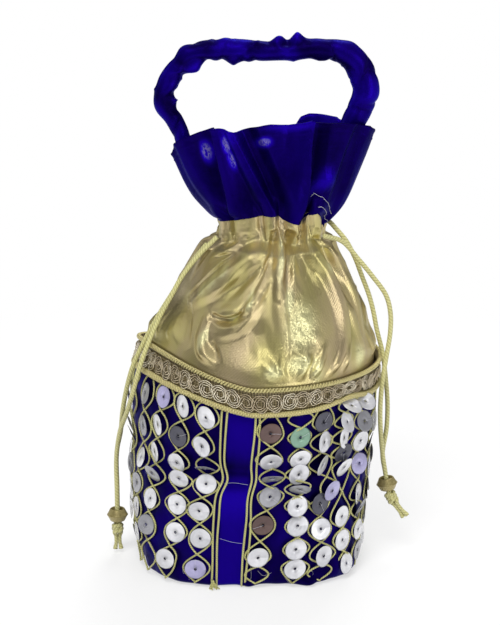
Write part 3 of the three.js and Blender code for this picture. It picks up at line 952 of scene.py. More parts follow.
# Folds of the frill above the drawn channel, of the upper's front and of the ruffle's front, by degrees round
# the bag and by height, or share of the ruffle's height
HEADER_FOLDS = [
    ((1.4, 1.6, 0), 1.6, 1.4, [(-153, 168), (-151, 160), (-146, 153)]),
    ((-2.6, -3, -1), 1.1, 1.6, [(-141, 168), (-140, 160), (-136, 152)]),
    ((1.6, 2.2, 0.5), 5, 4.5, [(-120, 168), (-120, 161), (-118, 153)]),
    ((-1, -1.4, -0.6), 1.4, 0.7, [(-104, 168), (-103, 161), (-98, 155)]),
    ((1.8, 2.4, 0), 3, 1, [(-91, 168), (-91, 161), (-90, 155)]),
    ((-2.8, -3, -1.6), 0.8, 3.2, [(-84, 168), (-83, 161), (-78, 155)]),
    ((0.8, 1.2, 0), 3.2, 2, [(-68, 168), (-69, 157)]),
    ((-2.8, -3, -1), 2, 0.7, [(-57.5, 168), (-57.5, 160), (-58, 153)]),
    ((2.2, 2.6, 0.5), 1.2, 4.5, [(-50, 168), (-47, 160), (-47, 153)]),
    ((-1.8, -2, 0), 2, 1.5, [(-24, 168), (-24, 160), (-26, 153)]),
    ((-2.6, -2.6, -1.2), 9, 9, [(0, 169), (0, 160), (0, 151)]),
]
FRONT_FOLDS = [
    ((1, 3.2, 3, 2, 0.8), 2.4, 2.2, [(-80, 163), (-81, 157), (-82, 150), (-82, 143), (-81, 134)]),
    ((0.8, 1.6, 1.6, 1.2, 0), 4, 1.2, [(-80, 138), (-79, 130), (-77, 121), (-76, 112), (-76, 104)]),
    ((-2, -3, -2, 0), 2, 2.4, [(-88, 158), (-88, 151), (-91, 144), (-94, 137)]),
    ((-2.4, -3, -2, 0), 1.6, 2, [(-73, 160), (-74, 152), (-76, 143), (-78, 134)]),
    ((0.5, 3.2, 3.6, 3, 1.5, 0), 6, 5, [
        (-91, 154), (-105, 148), (-118, 141), (-132, 133), (-142, 127), (-150, 120),
    ]),
    ((0, -2, -2.2, -1.6, 0), 1.6, 3, [(-110, 153), (-118, 150), (-130, 143), (-142, 134), (-152, 124)]),
    ((0.6, 1.8, 0), 2, 2, [(-118, 156), (-130, 151.5), (-143, 148.5)]),
    ((-1, -1.6, 0), 1.4, 1.4, [(-120, 153), (-131, 148.5), (-144, 145)]),
    ((1, 2, 1, 0), 3, 1.8, [(-150, 156), (-154, 149), (-158, 142), (-162, 134)]),
    ((-1, -2.6, -2.6, -1, 0), 3.4, 3.4, [(-97, 148), (-105, 143), (-112, 136), (-119, 129), (-124, 123)]),
    ((0.8, 2, 2.4, 1.6), 1.2, 3, [(-89, 148), (-92, 141), (-96, 134), (-100, 129)]),
    ((0.6, 2, 1.6, 0), 3, 1.4, [(-101, 130), (-106, 126.5), (-113, 124.5), (-124, 124)]),
    ((-0.5, -3, -3.2, -1), 2, 1.4, [(-99, 128), (-104, 123.5), (-112, 120.5), (-121, 121)]),
    ((1.6, 2.6, 2.6, 1.4, 0), 1.2, 5, [(-98, 131), (-101, 125), (-106, 119.5), (-113, 117), (-121, 117.5)]),
    ((1.2, 2.2, 2, 0.6), 3.4, 1.2, [(-123, 118), (-122, 111), (-118, 105), (-112, 100)]),
    ((0, -2.2, 0), 1.2, 1.2, [(-117, 110), (-112, 106), (-108, 102)]),
    ((0, -1.4, -1.4, 0), 4, 2, [(-148, 122), (-142, 116), (-135, 108), (-129, 101)]),
    ((0, 1.2, 0), 3.5, 1.5, [(-154, 114), (-146, 106), (-138, 100)]),
    ((1, 3.4, 3.4, 3, 2, 0.8, 0), 5, 2, [
        (-57, 159), (-50, 149), (-42, 142), (-37, 128), (-37, 117), (-42, 107), (-49, 99),
    ]),
    ((-1.5, -2.8, -1.8, 0), 4.4, 3.6, [(-66, 157), (-64, 149), (-61, 140), (-56, 132)]),
    ((-1.4, -2.2, -1.4, 0), 2, 2, [(-42, 154), (-36, 146), (-30, 137), (-27, 124)]),
    ((1, 2.8, 2.4, 1.4, 0), 2, 3, [(-37, 158), (-31, 150), (-25, 144), (-20, 135), (-18, 124), (-20, 110)]),
    ((0, 1.8, 1.2, 0), 3, 1.6, [(-34, 134), (-28, 122), (-26, 112), (-24, 99)]),
    ((0, -1.4, -1.4, 0), 5, 4, [(-94, 124), (-89, 116), (-86, 106)]),
    ((0, 1.6, 1.2), 2.4, 2, [(-87, 109), (-83, 104), (-79, 98)]),
    ((1.6, 1.6, 0), 1.6, 1, [(-73, 95), (-78, 103), (-77, 113)]),
    ((1.5, 1.5, 0), 1.4, 1, [(-69, 95), (-68, 102), (-64, 114)]),
    ((1.7, 1.7, 0), 1.6, 1, [(-64, 95), (-60, 103), (-52, 114)]),
    ((1.6, 1.6, 0), 1.6, 1.1, [(-57, 95), (-50, 102), (-40, 113)]),
    ((1.5, 1.5, 0), 1.6, 1.1, [(-46, 95), (-42, 104), (-34, 114)]),
    ((-1.5, -1.5, 0), 1.2, 1.2, [(-66, 95), (-64, 103), (-58, 112)]),
]
RUFFLE_FOLDS = [
    ((1.8, 1.6, 1), 4, 4, [(-153, 1), (-150, 0.6), (-146, 0.3), (-144, 0)]),
    ((-2.4, -2.4, -1.6), 4, 1, [(-127, 1), (-127.5, 0.64), (-130, 0.3), (-141, 0)]),
    ((2.6, 2.6, 1.6), 1.2, 4, [(-124, 1), (-124, 0.64), (-126, 0.3), (-137, 0)]),
    ((3, 3, 2), 4, 1.2, [(-111, 1), (-106, 0.64), (-99, 0.27), (-90, 0)]),
    ((-4.2, -4.2, -2.4), 1.2, 6, [(-108, 1), (-102, 0.63), (-95, 0.33), (-84, 0)]),
    ((1.2, 1.2, 0.6), 4, 5, [(-88, 1), (-86, 0.6), (-80, 0.28), (-74, 0)]),
    ((3.2, 3.2, 2.2), 8, 0.9, [(-68, 1), (-68, 0.72), (-66, 0.42), (-62, 0)]),
    ((-2.4, -2.4, -1.6), 0.8, 4.5, [(-64.5, 1), (-64, 0.6), (-61.5, 0.3), (-58, 0)]),
    ((0, 2.2, 0), 5, 5, [(-52, 0.52), (-51, 0.36), (-49, 0.2)]),
    ((-1.6, -1.6, -1), 3, 3, [(-28, 1), (-32, 0.62), (-32, 0.3), (-22, 0)]),
]


def seeded_folds():
    """Pleats, creases and tucks round the sides and back, where the photograph doesn't reach."""
    chance = np.random.default_rng(11)
    folds = []
    for degrees in np.arange(8, 174, 15.5):
        start = degrees + chance.uniform(-3, 3)
        lean = chance.uniform(-9, 9)
        foot = chance.uniform(112, 136)
        halfway = (start + 0.6 * lean, 0.5 * (153 + foot))
        points = [(start, 168), (start + 0.2 * lean, 153), halfway, (start + lean, foot)]
        high = chance.uniform(2.2, 3.2)
        folds.append(((2, high, high, 0), chance.uniform(2.4, 4.5), chance.uniform(1.2, 2.6), points))
        valley = [(start + 7.5, 164), (start + 7.5, 153), (start + 7.5 + 0.4 * lean, 138)]
        folds.append(((-1.6, -chance.uniform(2, 2.8), 0), 1.6, 2.4, valley))
    for degrees in np.arange(-14, 205, 14):
        start = degrees + chance.uniform(-5, 5)
        side = chance.uniform(-12, 12)
        low = chance.uniform(95, 100)
        points = [(start, low), (start + 0.4 * side, low + 8), (start + side, low + chance.uniform(14, 24))]
        folds.append(((chance.uniform(1.1, 1.8), 1.4, 0), chance.uniform(1.4, 2.6), 1.1, points))
    for _ in range(9):
        start = chance.uniform(0, 190)
        side = chance.uniform(-14, 14)
        level = chance.uniform(112, 130)
        points = [(start, level + 8), (start + 0.5 * side, level), (start + side, level - 8)]
        folds.append(((0, chance.uniform(1, 1.6), 0), chance.uniform(1.4, 2.2), chance.uniform(3, 5), points))
    for _ in range(9):
        start, level = chance.uniform(-76, -58), chance.uniform(104, 132)
        turn, length = chance.uniform(0, math.pi), chance.uniform(3, 7)
        away, rise = length * math.cos(turn), length * math.sin(turn)
        points = [(start - away, level - rise), (start, level + 0.5), (start + away, level + rise)]
        folds.append(((0, chance.uniform(0.5, 1), 0), 2.6, 1.4, points))
    return folds


def cloth_lay(heights, columns, width):
    """The lay of a grid that is closed both ways, by its rows' heights; the last repeats the first."""
    return np.stack(np.meshgrid(np.linspace(0, width, columns + 1), heights), -1)


def lined(surface, angles, out, levels, inner_count):
    """A closed cloth: up the rows of its outer face and down fewer of its inner one. Also says which rows."""
    rows = np.arange(len(levels))
    inner = np.linspace(0, len(levels) - 1, inner_count).astype(int)[::-1]
    faces = [surface(angles, out, levels), surface(angles, out[inner] - CLOTH, levels[inner])]
    return np.concatenate(faces), np.concatenate([rows, inner])


# Spots where highlights are painted into the lamé: degrees, height, reach in degrees, reach in height
LAME_PAINTED_HIGHLIGHTS = [
    (-138, 133.5, 6, 3.5), (-131, 138, 6, 3.5), (-124, 143, 5, 3), (-75, 131, 3.5, 6), (-68, 121, 9, 10),
    (-68, 106, 7, 4), (-30, 103, 4, 5), (-108, 122.5, 4, 1.8), (-121, 110, 2.5, 5), (-82, 149, 2.4, 9),
    (-41, 146, 4, 4), (-82, 103, 4, 3), (-99, 132, 2, 4), (-60, 102, 3, 5),
]
CINCH = 155.8
CINCH_WAVE = 1.3
SEAM_RISE_START = 146
# How far the upper hangs slack at its left and right, and again low on its left
SLACK_LEFT = 2
SLACK_RIGHT = 3.4
SLACK_LOW_LEFT = 2.4
SLACK_HEIGHT = 142
SLACK_LOW_HEIGHT = 120
SLACK_REACH = 12
BILLOW = 0.5
TRIM_BULGE = 0.7
BEHIND_TRIM = 1.2


def brightness_of(angles, levels, spots):
    """How near each point is to spots of painted light: (degrees, height, reach in degrees, reach in height).
    """
    degrees = degrees_of(angles)
    lit = np.zeros(np.broadcast(angles, levels).shape)
    for middle, height, wide, high in spots:
        away = ((degrees - middle) / wide) ** 2 + ((levels - height) / high) ** 2
        lit = np.maximum(lit, np.exp(-(away**1.5)))
    return lit


def upper_relief(angles, levels):
    """How far the lamé stands out, and a mask of painted highlights that also crinkles it more."""
    flat = bag_point(angles, 0, levels)
    heights = fold_heights(bag_point, flat, HEADER_FOLDS + FRONT_FOLDS + seeded_folds())
    free = smooth(levels, TRIM_TOP + 0.5, TRIM_TOP + 7)
    cinch = CINCH + CINCH_WAVE * ripples(bag_point(angles, 0, CINCH), 22, 4)
    to_neck = (BELLY_HALF - NECK_HALF_WIDTH) * (1 - narrowing(levels)) - 0.9
    drawn = -smooth(levels, cinch - 5, cinch + 0.5) * to_neck
    side_slack = lerp(SLACK_LEFT, SLACK_RIGHT, (1 + np.cos(angles)) / 2) * np.cos(angles) ** 2
    left = hump(np.cos(angles), -1, 0.35)
    slack = side_slack * hump(levels, SLACK_HEIGHT, SLACK_REACH)
    slack = slack + SLACK_LOW_LEFT * left * hump(levels, SLACK_LOW_HEIGHT, SLACK_REACH)
    billow = BILLOW * ripples(flat, 30, 3)
    fullness = TRIM_BULGE * hump(levels, TRIM_TOP + 8, 7) - BEHIND_TRIM * (1 - free) - 0.5 * free
    # Painted highlights, which also crinkle the lamé more.
    crushed = brightness_of(angles, levels, LAME_PAINTED_HIGHLIGHTS)
    return fullness + drawn - slack + free * (heights + billow) - 0.3, crushed


def gold_upper():
    """The gathered lamé, from behind the trim to the ruffle's seam."""
    columns, rows = 440, 136
    angles = full_turn(columns)[None]
    levels = np.linspace(BODY_TOP + 0.6, SEAM, rows)[:, None]
    out, crushed = upper_relief(angles, levels)
    skin, used = lined(bag_point, angles, out, levels, 44)
    skin[..., 2] += smooth(levels[used], SEAM_RISE_START, SEAM) * value_at(angles, SEAM_RISE)
    work = Work()
    lay = cloth_lay(levels[[*used, 0], 0], columns, TURN * BELLY_HALF)
    # The tone carries the lamé's painted highlights.
    work.grid(skin, lay, around=True, along=True, tone=crushed[used])
    piece = work.piece("lame_upper", LAME, "gold_lame", replaces=["gold_upper"])


# The wall's unevenness, how far its foot turns in, and the fold that the crease leaves in the plain strip
WALL_PUCKER = 0.45
CREASE_PUCKER = 0.4
FOOT_WAVE = 0.9
FOOT_TURN_IN = 2.2
STRIP_HOLLOW = 0.5
STRIP_BULGE = 1.3
STRIP_BULGE_HEIGHT = 47
STRIP_FOLD = 1.4
STRIP_FOLD_HEIGHT = 56.5
# Lobes of the foot, by distance from the strip's middle
FOOT_LOBES = (10, 40)
FOOT_LOBE_DEPTH = 3


def satin_wall():
    """The embroidered wall: puckered cloth, creased across the middle, with lobes at its foot."""
    columns, rows = 400, 96
    angles = full_turn(columns)[None]
    levels = (BODY_TOP * np.linspace(0, 1, rows) ** 1.15)[:, None]
    flat = bag_point(angles, 0, levels)
    distance = wrapped(angles - STRIP_ANGLE - twist_at(levels)) * BELLY_HALF
    strip = smooth(STRIP_HALF - np.abs(distance), -0.8, 1.2)
    crushed = CREASE_PUCKER * hump(levels, CREASE_HEIGHT, 9)
    pucker = WALL_PUCKER * ripples(flat, 10, 21) + crushed * ripples(flat, 12, 22)
    lobes = FOOT_WAVE * (1 - smooth(levels, 2, 15)) * ripples(flat, 34, 23)
    foot = -FOOT_TURN_IN * np.clip(1 - levels / 2.6, 0, 1) ** 2
    hollow = -STRIP_HOLLOW * np.clip(1 - (distance / STRIP_HALF) ** 2, 0, 1)
    fold_height = STRIP_FOLD_HEIGHT + 0.8 * ripples(flat, 40, 25)
    fold = STRIP_BULGE * hump(levels, STRIP_BULGE_HEIGHT, 6.5) - STRIP_FOLD * hump(levels, fold_height, 3.6)
    out = foot + lobes + (1 - strip) * pucker + strip * (hollow + 0.15 * ripples(flat, 16, 24)) - 0.15
    out = out + fold * lerp(0.35, 1, strip)
    for place in FOOT_LOBES:
        out = out + FOOT_LOBE_DEPTH * hump(distance, place, 4) * (1 - smooth(levels, 1, 7))
    skin, used = lined(bag_point, angles, out, levels, 20)
    lay = cloth_lay(levels[[*used, 0], 0], columns, TURN * BELLY_HALF)
    # Painted light on the plain strip: brighter below the crease and darker along it; off the strip the tone
    # only differs at random.
    lit = strip * np.clip(0.4 + 0.35 * hump(levels, 44, 9) - 0.4 * hump(levels, 57, 7), 0, 1)
    lit = np.clip(lit + 0.12 * ripples(flat, 25, 26) * (1 - strip), 0, 1)
    work = Work()
    work.grid(skin, lay, around=True, along=True, tone=lit[used])
    piece = work.piece("satin_wall", SATIN, "satin_blue", replaces=["embroidered_body"])


# Share of the way out from the base's middle, and level
BASE_PROFILE = [
    (0.02, 0.12), (0.5, 0.1), (0.97, 0.1), (0.995, 0.5), (1, 1.2), (0.99, 1.9), (0.6, 2), (0.02, 2),
]


def covered_base():
    """The stiff base, wrapped in the same satin."""
    columns = 160
    angles = full_turn(columns)
    edge = bag_point(angles, -1.9, 0)
    middle = np.array([FOOT_SHIFT, 0, 0])
    rows = []
    for share, level in BASE_PROFILE:
        ring = middle + (edge - middle) * share
        ring[:, 2] = level
        rows.append(ring)
    rows = np.array(rows)
    lay = np.zeros((len(rows), columns + 1, 2))
    lay[:, :-1] = rows[..., :2]
    lay[:, -1] = lay[:, 0]
    work = Work()
    work.capped(rows, rows[0].mean(0), rows[-1].mean(0), lay)
    work.piece("covered_base", SATIN, "base_board", replaces=["base_panel"])


def ruffle_back_folds():
    """Folds of the ruffle's back half."""
    chance = np.random.default_rng(17)
    folds = []
    for degrees in np.arange(6, 180, 19):
        start = degrees + chance.uniform(-4, 4)
        points = [(start, 1), (start + chance.uniform(-4, 4), 0.5), (start + chance.uniform(-4, 4), 0)]
        high = chance.uniform(-2.4, 2.6)
        folds.append(((high, high, 0.6 * high), chance.uniform(1.5, 5), chance.uniform(1.5, 5), points))
    return folds


# Spots of painted highlight on the ruffle, then spots of painted sheen streaks: degrees, share of height,
# reach in degrees, reach in share
SATIN_PAINTED_HIGHLIGHTS = [(-51, 0.36, 9, 0.13), (-114, 0.95, 6, 0.12), (-80, 0.97, 14, 0.05), (60, 1, 25, 0.2)]
SATIN_PAINTED_SHEEN = [
    (-134, 0.77, 3.5, 0.12), (-117, 0.82, 2.5, 0.12), (-115.5, 0.65, 2.5, 0.12), (-95, 0.81, 5, 0.06),
]
RUFFLE_LAY_WIDTH = 260
RUFFLE_LAY_HEIGHT = 84
RUFFLE_STITCHES = [
    [(-58, 0.24), (-50, 0.17), (-42, 0.13), (-30, 0.1), (-20, 0.08)],
    [(-49, 0.05), (-40, 0.045), (-30, 0.03), (-14, 0.015)],
    [(-66, 0.97), (-65.5, 0.87)],
]


def satin_ruffle():
    """The ruffle above the drawn neck, with its own folds and a turned rim."""
    columns, rows = 400, 72
    angles = full_turn(columns)[None]
    shares = np.linspace(-0.03, 1, rows)[:, None]
    flat = ruffle_point(angles, 0, shares)
    heights = fold_heights(ruffle_point, flat, RUFFLE_FOLDS + ruffle_back_folds())
    below_seam = np.array([[SEAM - 1], [SEAM - 0.5], [SEAM]])
    gathers = upper_relief(angles, below_seam)[0][1]
    wave = 0.45 * ripples(flat, 30, 31) * smooth(shares, 0.02, 0.4)
    hem = 0.35 * hump(shares, 0.985, 0.02) + 0.25 * hump(shares, 0.9, 0.006)
    out = lerp(gathers + 0.45, heights + wave + hem, smooth(shares, -0.02, 0.2))
    skin, used = lined(ruffle_point, angles, out, shares, 26)
    lay = cloth_lay(np.linspace(0, RUFFLE_LAY_HEIGHT, len(skin) + 1), columns, RUFFLE_LAY_WIDTH)
    # Painted light: the ruffle's folds are lighter on their ridges and darker in their valleys, with some
    # random tone, painted highlights and painted sheen.
    lit = np.clip(0.03 + 0.035 * heights + 0.05 * ripples(flat, 25, 33), 0, 0.2)
    lit = np.minimum(lit + 0.6 * brightness_of(angles, shares, SATIN_PAINTED_HIGHLIGHTS), 1)
    lit = np.maximum(lit, 1.9 * brightness_of(angles, shares, SATIN_PAINTED_SHEEN))
    work = Work()
    work.grid(skin, lay, around=True, along=True, tone=lit[used])
    piece = work.piece("satin_ruffle", SATIN, "satin_blue", replaces=["collar_ruffle"])
    stitches = Work()
    for stitch in RUFFLE_STITCHES:
        line = even_steps(np.array([(*spot, 0) for spot in stitch], float), 0.4)
        turned = np.radians(line[:, 0])
        column = np.round((turned % TURN) / TURN * columns).astype(int) % columns
        row = np.abs(shares[:, 0] - line[:, 1, None]).argmin(1)
        on_cloth = ruffle_point(turned, out[row, column] + 0.12, line[:, 1])
        stitches.tube(on_cloth, 0.1, sides=5)
    stitches.piece("ruffle_stitches", WHITE_THREAD, "satin_blue")


# Handle
HANDLE_HALF_SPAN = 45.9
HANDLE_RISE = 32
HANDLE_LEAN = 5.3
HANDLE_FOOT_DEPTH = 13
HANDLE_LEFT_FOOT = 4.1
HANDLE_RIGHT_FOOT = 5.7
HANDLE_SHAPE = [
    (-0.8, -0.33), (-0.91, 0.02), (-1, 0.24), (-0.965, 0.5), (-0.87, 0.72), (-0.7, 0.93), (-0.42, 0.985),
    (-0.05, 0.97), (0.24, 1), (0.55, 1), (0.8, 0.93), (0.94, 0.72), (1, 0.44), (0.945, 0.16), (0.88, -0.04),
]


def handle_foot(side, radius):
    """Where the handle's middle line ends, inside the ruffle."""
    angle = math.pi if side < 0 else 0.0
    share = max(1 - HANDLE_FOOT_DEPTH / (rim_height(angle) - SEAM), 0.2)
    wall = ruffle_point(np.array(angle), -1.5, np.array(share))
    return (wall[0] - side * (radius * 1.45 + 0.3), 0, wall[2])


# Radius by share of the length, and peaks and hollows by x, z and how far they rise
HANDLE_RADII = [(0, 4.2), (0.14, 4.1), (0.2, 4), (0.27, 4.3), (0.36, 4.7), (0.62, 4.7), (0.74, 5.8), (1, 5.6)]
HANDLE_PEAKS = [
    (12.2, 245, 2.9), (17.4, 246, 2.2), (20.5, 245.4, 1.2), (15, 243, -1.6), (-9, 233, 1.8),
    (-25.5, 229.5, 3), (-36.5, 215.4, 2.2), (30, 233, 1), (41, 224, 1.1), (-13, 242.6, 0.8),
    (-31, 237.6, 1.2), (44, 241, 0.4),
]
HANDLE_STEP = 0.55
WRINKLES = 64


def handle_cover():
    """The ruched sleeve: wrinkles across it, a few sharp peaks and hollows between them."""
    arch = [(HANDLE_LEAN + x * HANDLE_HALF_SPAN, 0, RIM + z * HANDLE_RISE) for x, z in HANDLE_SHAPE]
    path = through([handle_foot(-1, HANDLE_LEFT_FOOT), *arch, handle_foot(1, HANDLE_RIGHT_FOOT)], HANDLE_STEP)
    share = np.linspace(0, 1, len(path))
    along = share[:, None] * HANDLE_STEP * len(path)
    radius = np.interp(share, *zip(*HANDLE_RADII))
    sides = 72
    base = tube_rows(path, radius, sides)
    chance = np.random.default_rng(5)
    round_angle = full_turn(sides)[None]
    relief = 0.3 * ripples(base, 18, 41)
    for _ in range(WRINKLES):
        at = chance.uniform(8, along[-1, 0] - 6)
        turned, spread = chance.uniform(0, TURN), chance.uniform(0.5, 1.5)
        slant, width = chance.uniform(-3.5, 3.5), chance.uniform(0.9, 2.6)
        bend = wrapped(round_angle - turned)
        distance = np.abs(along - at + slant * bend) / width
        rise = chance.choice([-1, 0.8]) * chance.uniform(0.35, 1)
        relief += rise * hump(bend, 0, spread) * np.exp(-distance**1.4)
    for x, z, rise in HANDLE_PEAKS:
        away = np.linalg.norm(base - (x, -0.5, z), axis=2)
        away = away - away.min()
        relief += rise * np.exp(-((away / 2) ** 1.3)) - 0.25 * rise * hump(away, 4, 1.8)
    rows = tube_rows(path, radius[:, None] + relief, sides)
    lay = np.stack(np.meshgrid(np.linspace(0, 33, sides + 1), np.linspace(0, 240, len(path))), -1)
    # Painted light: raised wrinkles of the sleeve are lighter and hollows darker, over random tone.
    lit = np.clip(0.24 + 0.25 * ripples(base, 14, 42) + 0.25 * relief, 0, 1)
    work = Work()
    work.capped(rows, path[0], path[-1], lay, lit)
    piece = work.piece("handle_cover", SATIN, "satin_blue", replaces=["handle_sleeve", "handle_core"])


# Lace trim
PUCKER_ANGLE = math.radians(-43)
PUCKER_REACH = 0.25
PUCKER_RISE = 3
PLY_SHARE = 0.78
RING_COUNT = 58
RING_TURNS = 3.1
RING_REACH = 4.1
RING_HEART = 1.1
RING_WIRE = 0.26
RING_STEPS = 84


def trim_level(angle, level):
    """Height of a level of the trim, which is puckered up a little near its right end."""
    pucker = PUCKER_RISE * hump(wrapped(angle), PUCKER_ANGLE, PUCKER_REACH)
    return TRIM_BOTTOM + level + pucker * (1 - level / TRIM_HEIGHT)


def trim_band():
    """The net that carries the rings."""
    columns = 360
    angles = full_turn(columns)[None]
    profile = [(0.3, 0), (0.8, 0.2), (0.85, 4), (0.95, 6.5), (0.85, 9), (0.8, 12.8), (0.3, 13)]
    rows = np.concatenate([bag_point(angles, out, trim_level(angles, level)) for out, level in profile])
    work = Work()
    lay = cloth_lay(np.linspace(0, 2 * TRIM_HEIGHT, len(rows) + 1), columns, TURN * BELLY_HALF)
    work.grid(rows, lay, around=True, along=True)
    work.piece("trim_net", LACE_NET, "lace_gold", replaces=["lace_trim"])


def trim_rings():
    """Overlapping rings of crimped wire round the middle of the trim."""
    chance = np.random.default_rng(8)
    work = Work()
    for number in range(RING_COUNT):
        angle = TURN * number / RING_COUNT + chance.uniform(-0.008, 0.008)
        level = TRIM_HEIGHT / 2 + chance.uniform(-0.4, 0.4)
        way = chance.choice([-1, 1])
        start = chance.uniform(0, TURN)
        turn = start + way * np.linspace(0, TURN * RING_TURNS, RING_STEPS)
        inward = np.linspace(0, 1, RING_STEPS) ** 1.15
        reach = lerp(RING_REACH, RING_HEART, inward) + 0.16 * np.sin(5.3 * turn)
        lean = 0.55 * np.cos(turn - start) + 0.3 * np.sin(3.1 * turn + start)
        place = angle + reach * np.cos(turn) / BELLY_HALF
        path = bag_point(place, 1.6 + lean, trim_level(place, level + reach * np.sin(turn)))
        work.tube(path, RING_WIRE, sides=5, tone=chance.uniform(0, 1))
    work.piece("trim_rings", LACE_WIRE, "lace_gold")


def twisted_edge(name, level, out, radius, plies, turns, material):
    """Plies wound round each other along the trim's edge."""
    steps_a_turn = 9
    angle = np.linspace(0, TURN, turns * steps_a_turn)
    work = Work()
    for ply in range(plies):
        phase = angle * turns + ply * TURN / plies
        height = trim_level(angle, level) + radius * np.sin(phase)
        path = bag_point(angle, out + radius * np.cos(phase), height)
        work.tube(path, radius * PLY_SHARE, sides=6)
    work.piece(name, material, "lace_gold")


def couching_path(places, side, head):
    """A couched cord's way past the sequins of a column, first on one side and then on the other. The two
    cords of a column meet at the foot, between the sequins and under the trim."""
    levels, shifts = np.array([place[:2] for place in sorted(places)]).T
    foot = 2.2
    gaps = (levels[0] - foot, head - levels[-1])
    below, above = (max(0, round(gap / SEQUIN_PITCH - 0.5)) + 0.5 for gap in gaps)
    z = np.arange(foot, head, 0.6)
    turns = np.interp(z, [foot, *levels, head], [-below, *range(len(levels)), len(levels) - 1 + above])
    return z, np.interp(z, levels, shifts), side * np.cos(math.pi * turns)


# Sequins of the columns that the photograph shows: height, sideways shift, film, turn and nod in degrees
FRONT_SEQUINS = {
    1: [(76, -2, BROWN, 0, 0), (63, -0.8, SILVER, 0, 22), (54.5, 0.8, GREY, 0, 62), (46, 0.7, GREY, 0, -10),
        (32, -1, BROWN, 0, 0), (16, -2, SILVER, -5, 0)],
    2: [(73, -1.8, GREEN, 0, 0), (63, -1, SILVER, 0, 10), (55, -0.4, SILVER, 0, 12), (49, -0.4, GREY, 12, 52),
        (40.5, 0.3, SILVER, 0, -15), (31, 1.3, SILVER, 0, -10), (19.5, 1.7, SILVER, 0, -12),
        (10, 2.4, SILVER, 0, -6)],
    3: [(78.5, -4, DARK, 0, 0), (69.5, -3.8, SILVER, -22, -8), (58.5, -2.8, SILVER, -26, 0),
        (45, 3.4, LILAC, -8, 10), (40, -2.4, DARK, -10, 0), (28, -1.2, SILVER, 0, -12),
        (14.5, 1.6, SILVER, -12, 0)],
    4: [(84, -3.5, SILVER, 5, -54), (76.5, -5.2, SILVER, -14, -30), (69, -5.6, SILVER, -20, -4),
        (61.5, -4.5, DARK, 8, 0), (54, -3.6, SILVER, 0, 34), (31, -2.9, SILVER, 0, 0),
        (19.5, -1.5, SILVER, 4, 0), (7.5, 2, SILVER, 0, -15)],
    5: [(83.5, -7.5, SILVER, 14, -60), (73.5, -5.5, GREY, 14, -18), (64, -5.5, SILVER, 18, 0),
        (52.5, -5, LILAC, 18, 0), (38, -4.5, SILVER, -12, 0), (31, -2.6, DARK, -4, 20),
        (20, -1, SILVER, 4, 0), (10, 0, GREY, 0, 0)],
    22: [(77, 4, GREY, 12, 0), (66, 3, GREY, 10, 0), (54, 1, SILVER, 5, 0), (42, 0, GREY, 0, 0),
         (30, 0, SILVER, 0, 0), (17, 0, SILVER, 0, 0)],
    23: [(79, 3.5, LILAC, 4, 0), (69, 1.7, SILVER, 16, 6), (59, -1, SILVER, 18, 5), (50.5, 1, GREY, 0, 44),
         (38.5, 0, SILVER, 2, 0), (25.5, -0.8, GREY, -14, 0)],
    24: [(79, 1.8, SILVER, 22, 8), (67.5, 0, DARK, 2, 0), (57.5, -0.5, SILVER, 8, 14),
         (51.5, 2.5, SILVER, 0, 36), (39.5, 2.4, SILVER, 2, 0), (26, 2.7, SILVER, 0, 0),
         (12, -2, SILVER, 0, 0)],
    25: [(78, -0.3, SILVER, 16, 0), (66.5, -1.3, SILVER, 16, 8), (58.5, 1, GREY, 0, 60),
         (51, 1.8, SILVER, 4, 14), (38, -0.3, SILVER, 0, 10), (24.8, 1, SILVER, 6, 0),
         (9.3, -0.7, LILAC, 0, 0)],
}


def column_distance(column):
    """Distance of a column from the strip's middle, counting round to the right."""
    length = TURN * BELLY_HALF - 2 * FIRST_COLUMN
    return FIRST_COLUMN + length * (column - 1) / (COLUMNS - 1)


def column_places(column):
    """The sequins of a column, as in FRONT_SEQUINS."""
    if column in FRONT_SEQUINS:
        return FRONT_SEQUINS[column]
    chance = np.random.default_rng(100 + column)
    places = []
    level = chance.uniform(8, 13)
    while level < HIGHEST_SEQUIN:
        tone = chance.choice([SILVER, SILVER, SILVER, SILVER, SILVER, GREY, GREY, DARK, LILAC, BROWN])
        creased = abs(level - CREASE_HEIGHT) < 4
        nod = chance.uniform(12, 24) if creased else chance.uniform(-8, 8)
        places.append((level, chance.uniform(-1.6, 1.6), tone, chance.uniform(-8, 8), nod))
        level += chance.uniform(10.4, 13.4)
    return places


def sequin(work, distance, level, tone, turn, nod, lift, chance):
    """A thin pierced disc, dished a little, lying on the cloth as its stitch holds it."""
    spot, right, up, outward = wall_axes(distance, level)
    nod = math.radians(nod + chance.uniform(-5, 5))
    turn = math.radians(turn + chance.uniform(-4, 4))
    up_now = up * math.cos(nod) + outward * math.sin(nod)
    facing = outward * math.cos(nod) - up * math.sin(nod)
    right_now = right * math.cos(turn) + facing * math.sin(turn)
    facing = facing * math.cos(turn) - right * math.sin(turn)
    tipping = SEQUIN_RADIUS * min(abs(math.sin(turn)) + abs(math.sin(nod)), 1)
    spot = spot + outward * (0.9 + lift + 0.5 * tipping)
    profile = mirrored_profile([(SEQUIN_HOLE, 0.09), (2.4, 0.1), (4.5, 0.1)], (SEQUIN_RADIUS, 0))
    angles = full_turn(30)
    bend_way = chance.uniform(0, TURN)
    bend = chance.uniform(-0.35, 0.6) + 1.5 * max(abs(nod) - 0.75, 0)
    rows = []
    for reach, side in profile:
        across = reach * np.cos(angles)
        along = reach * np.sin(angles)
        dish = side + bend * ((across * math.cos(bend_way) + along * math.sin(bend_way)) / SEQUIN_RADIUS) ** 2
        rows.append(spot + across[:, None] * right_now + along[:, None] * up_now + dish[:, None] * facing)
    lay = np.stack(np.meshgrid(np.linspace(0, 16, 31), [0, 1.8, 4, 4.5, 5, 7, 9, 10]), -1)
    work.grid(np.array(rows), lay + chance.uniform(0, 90), around=True, along=True, tone=tone)
    return spot, right_now, up_now, facing


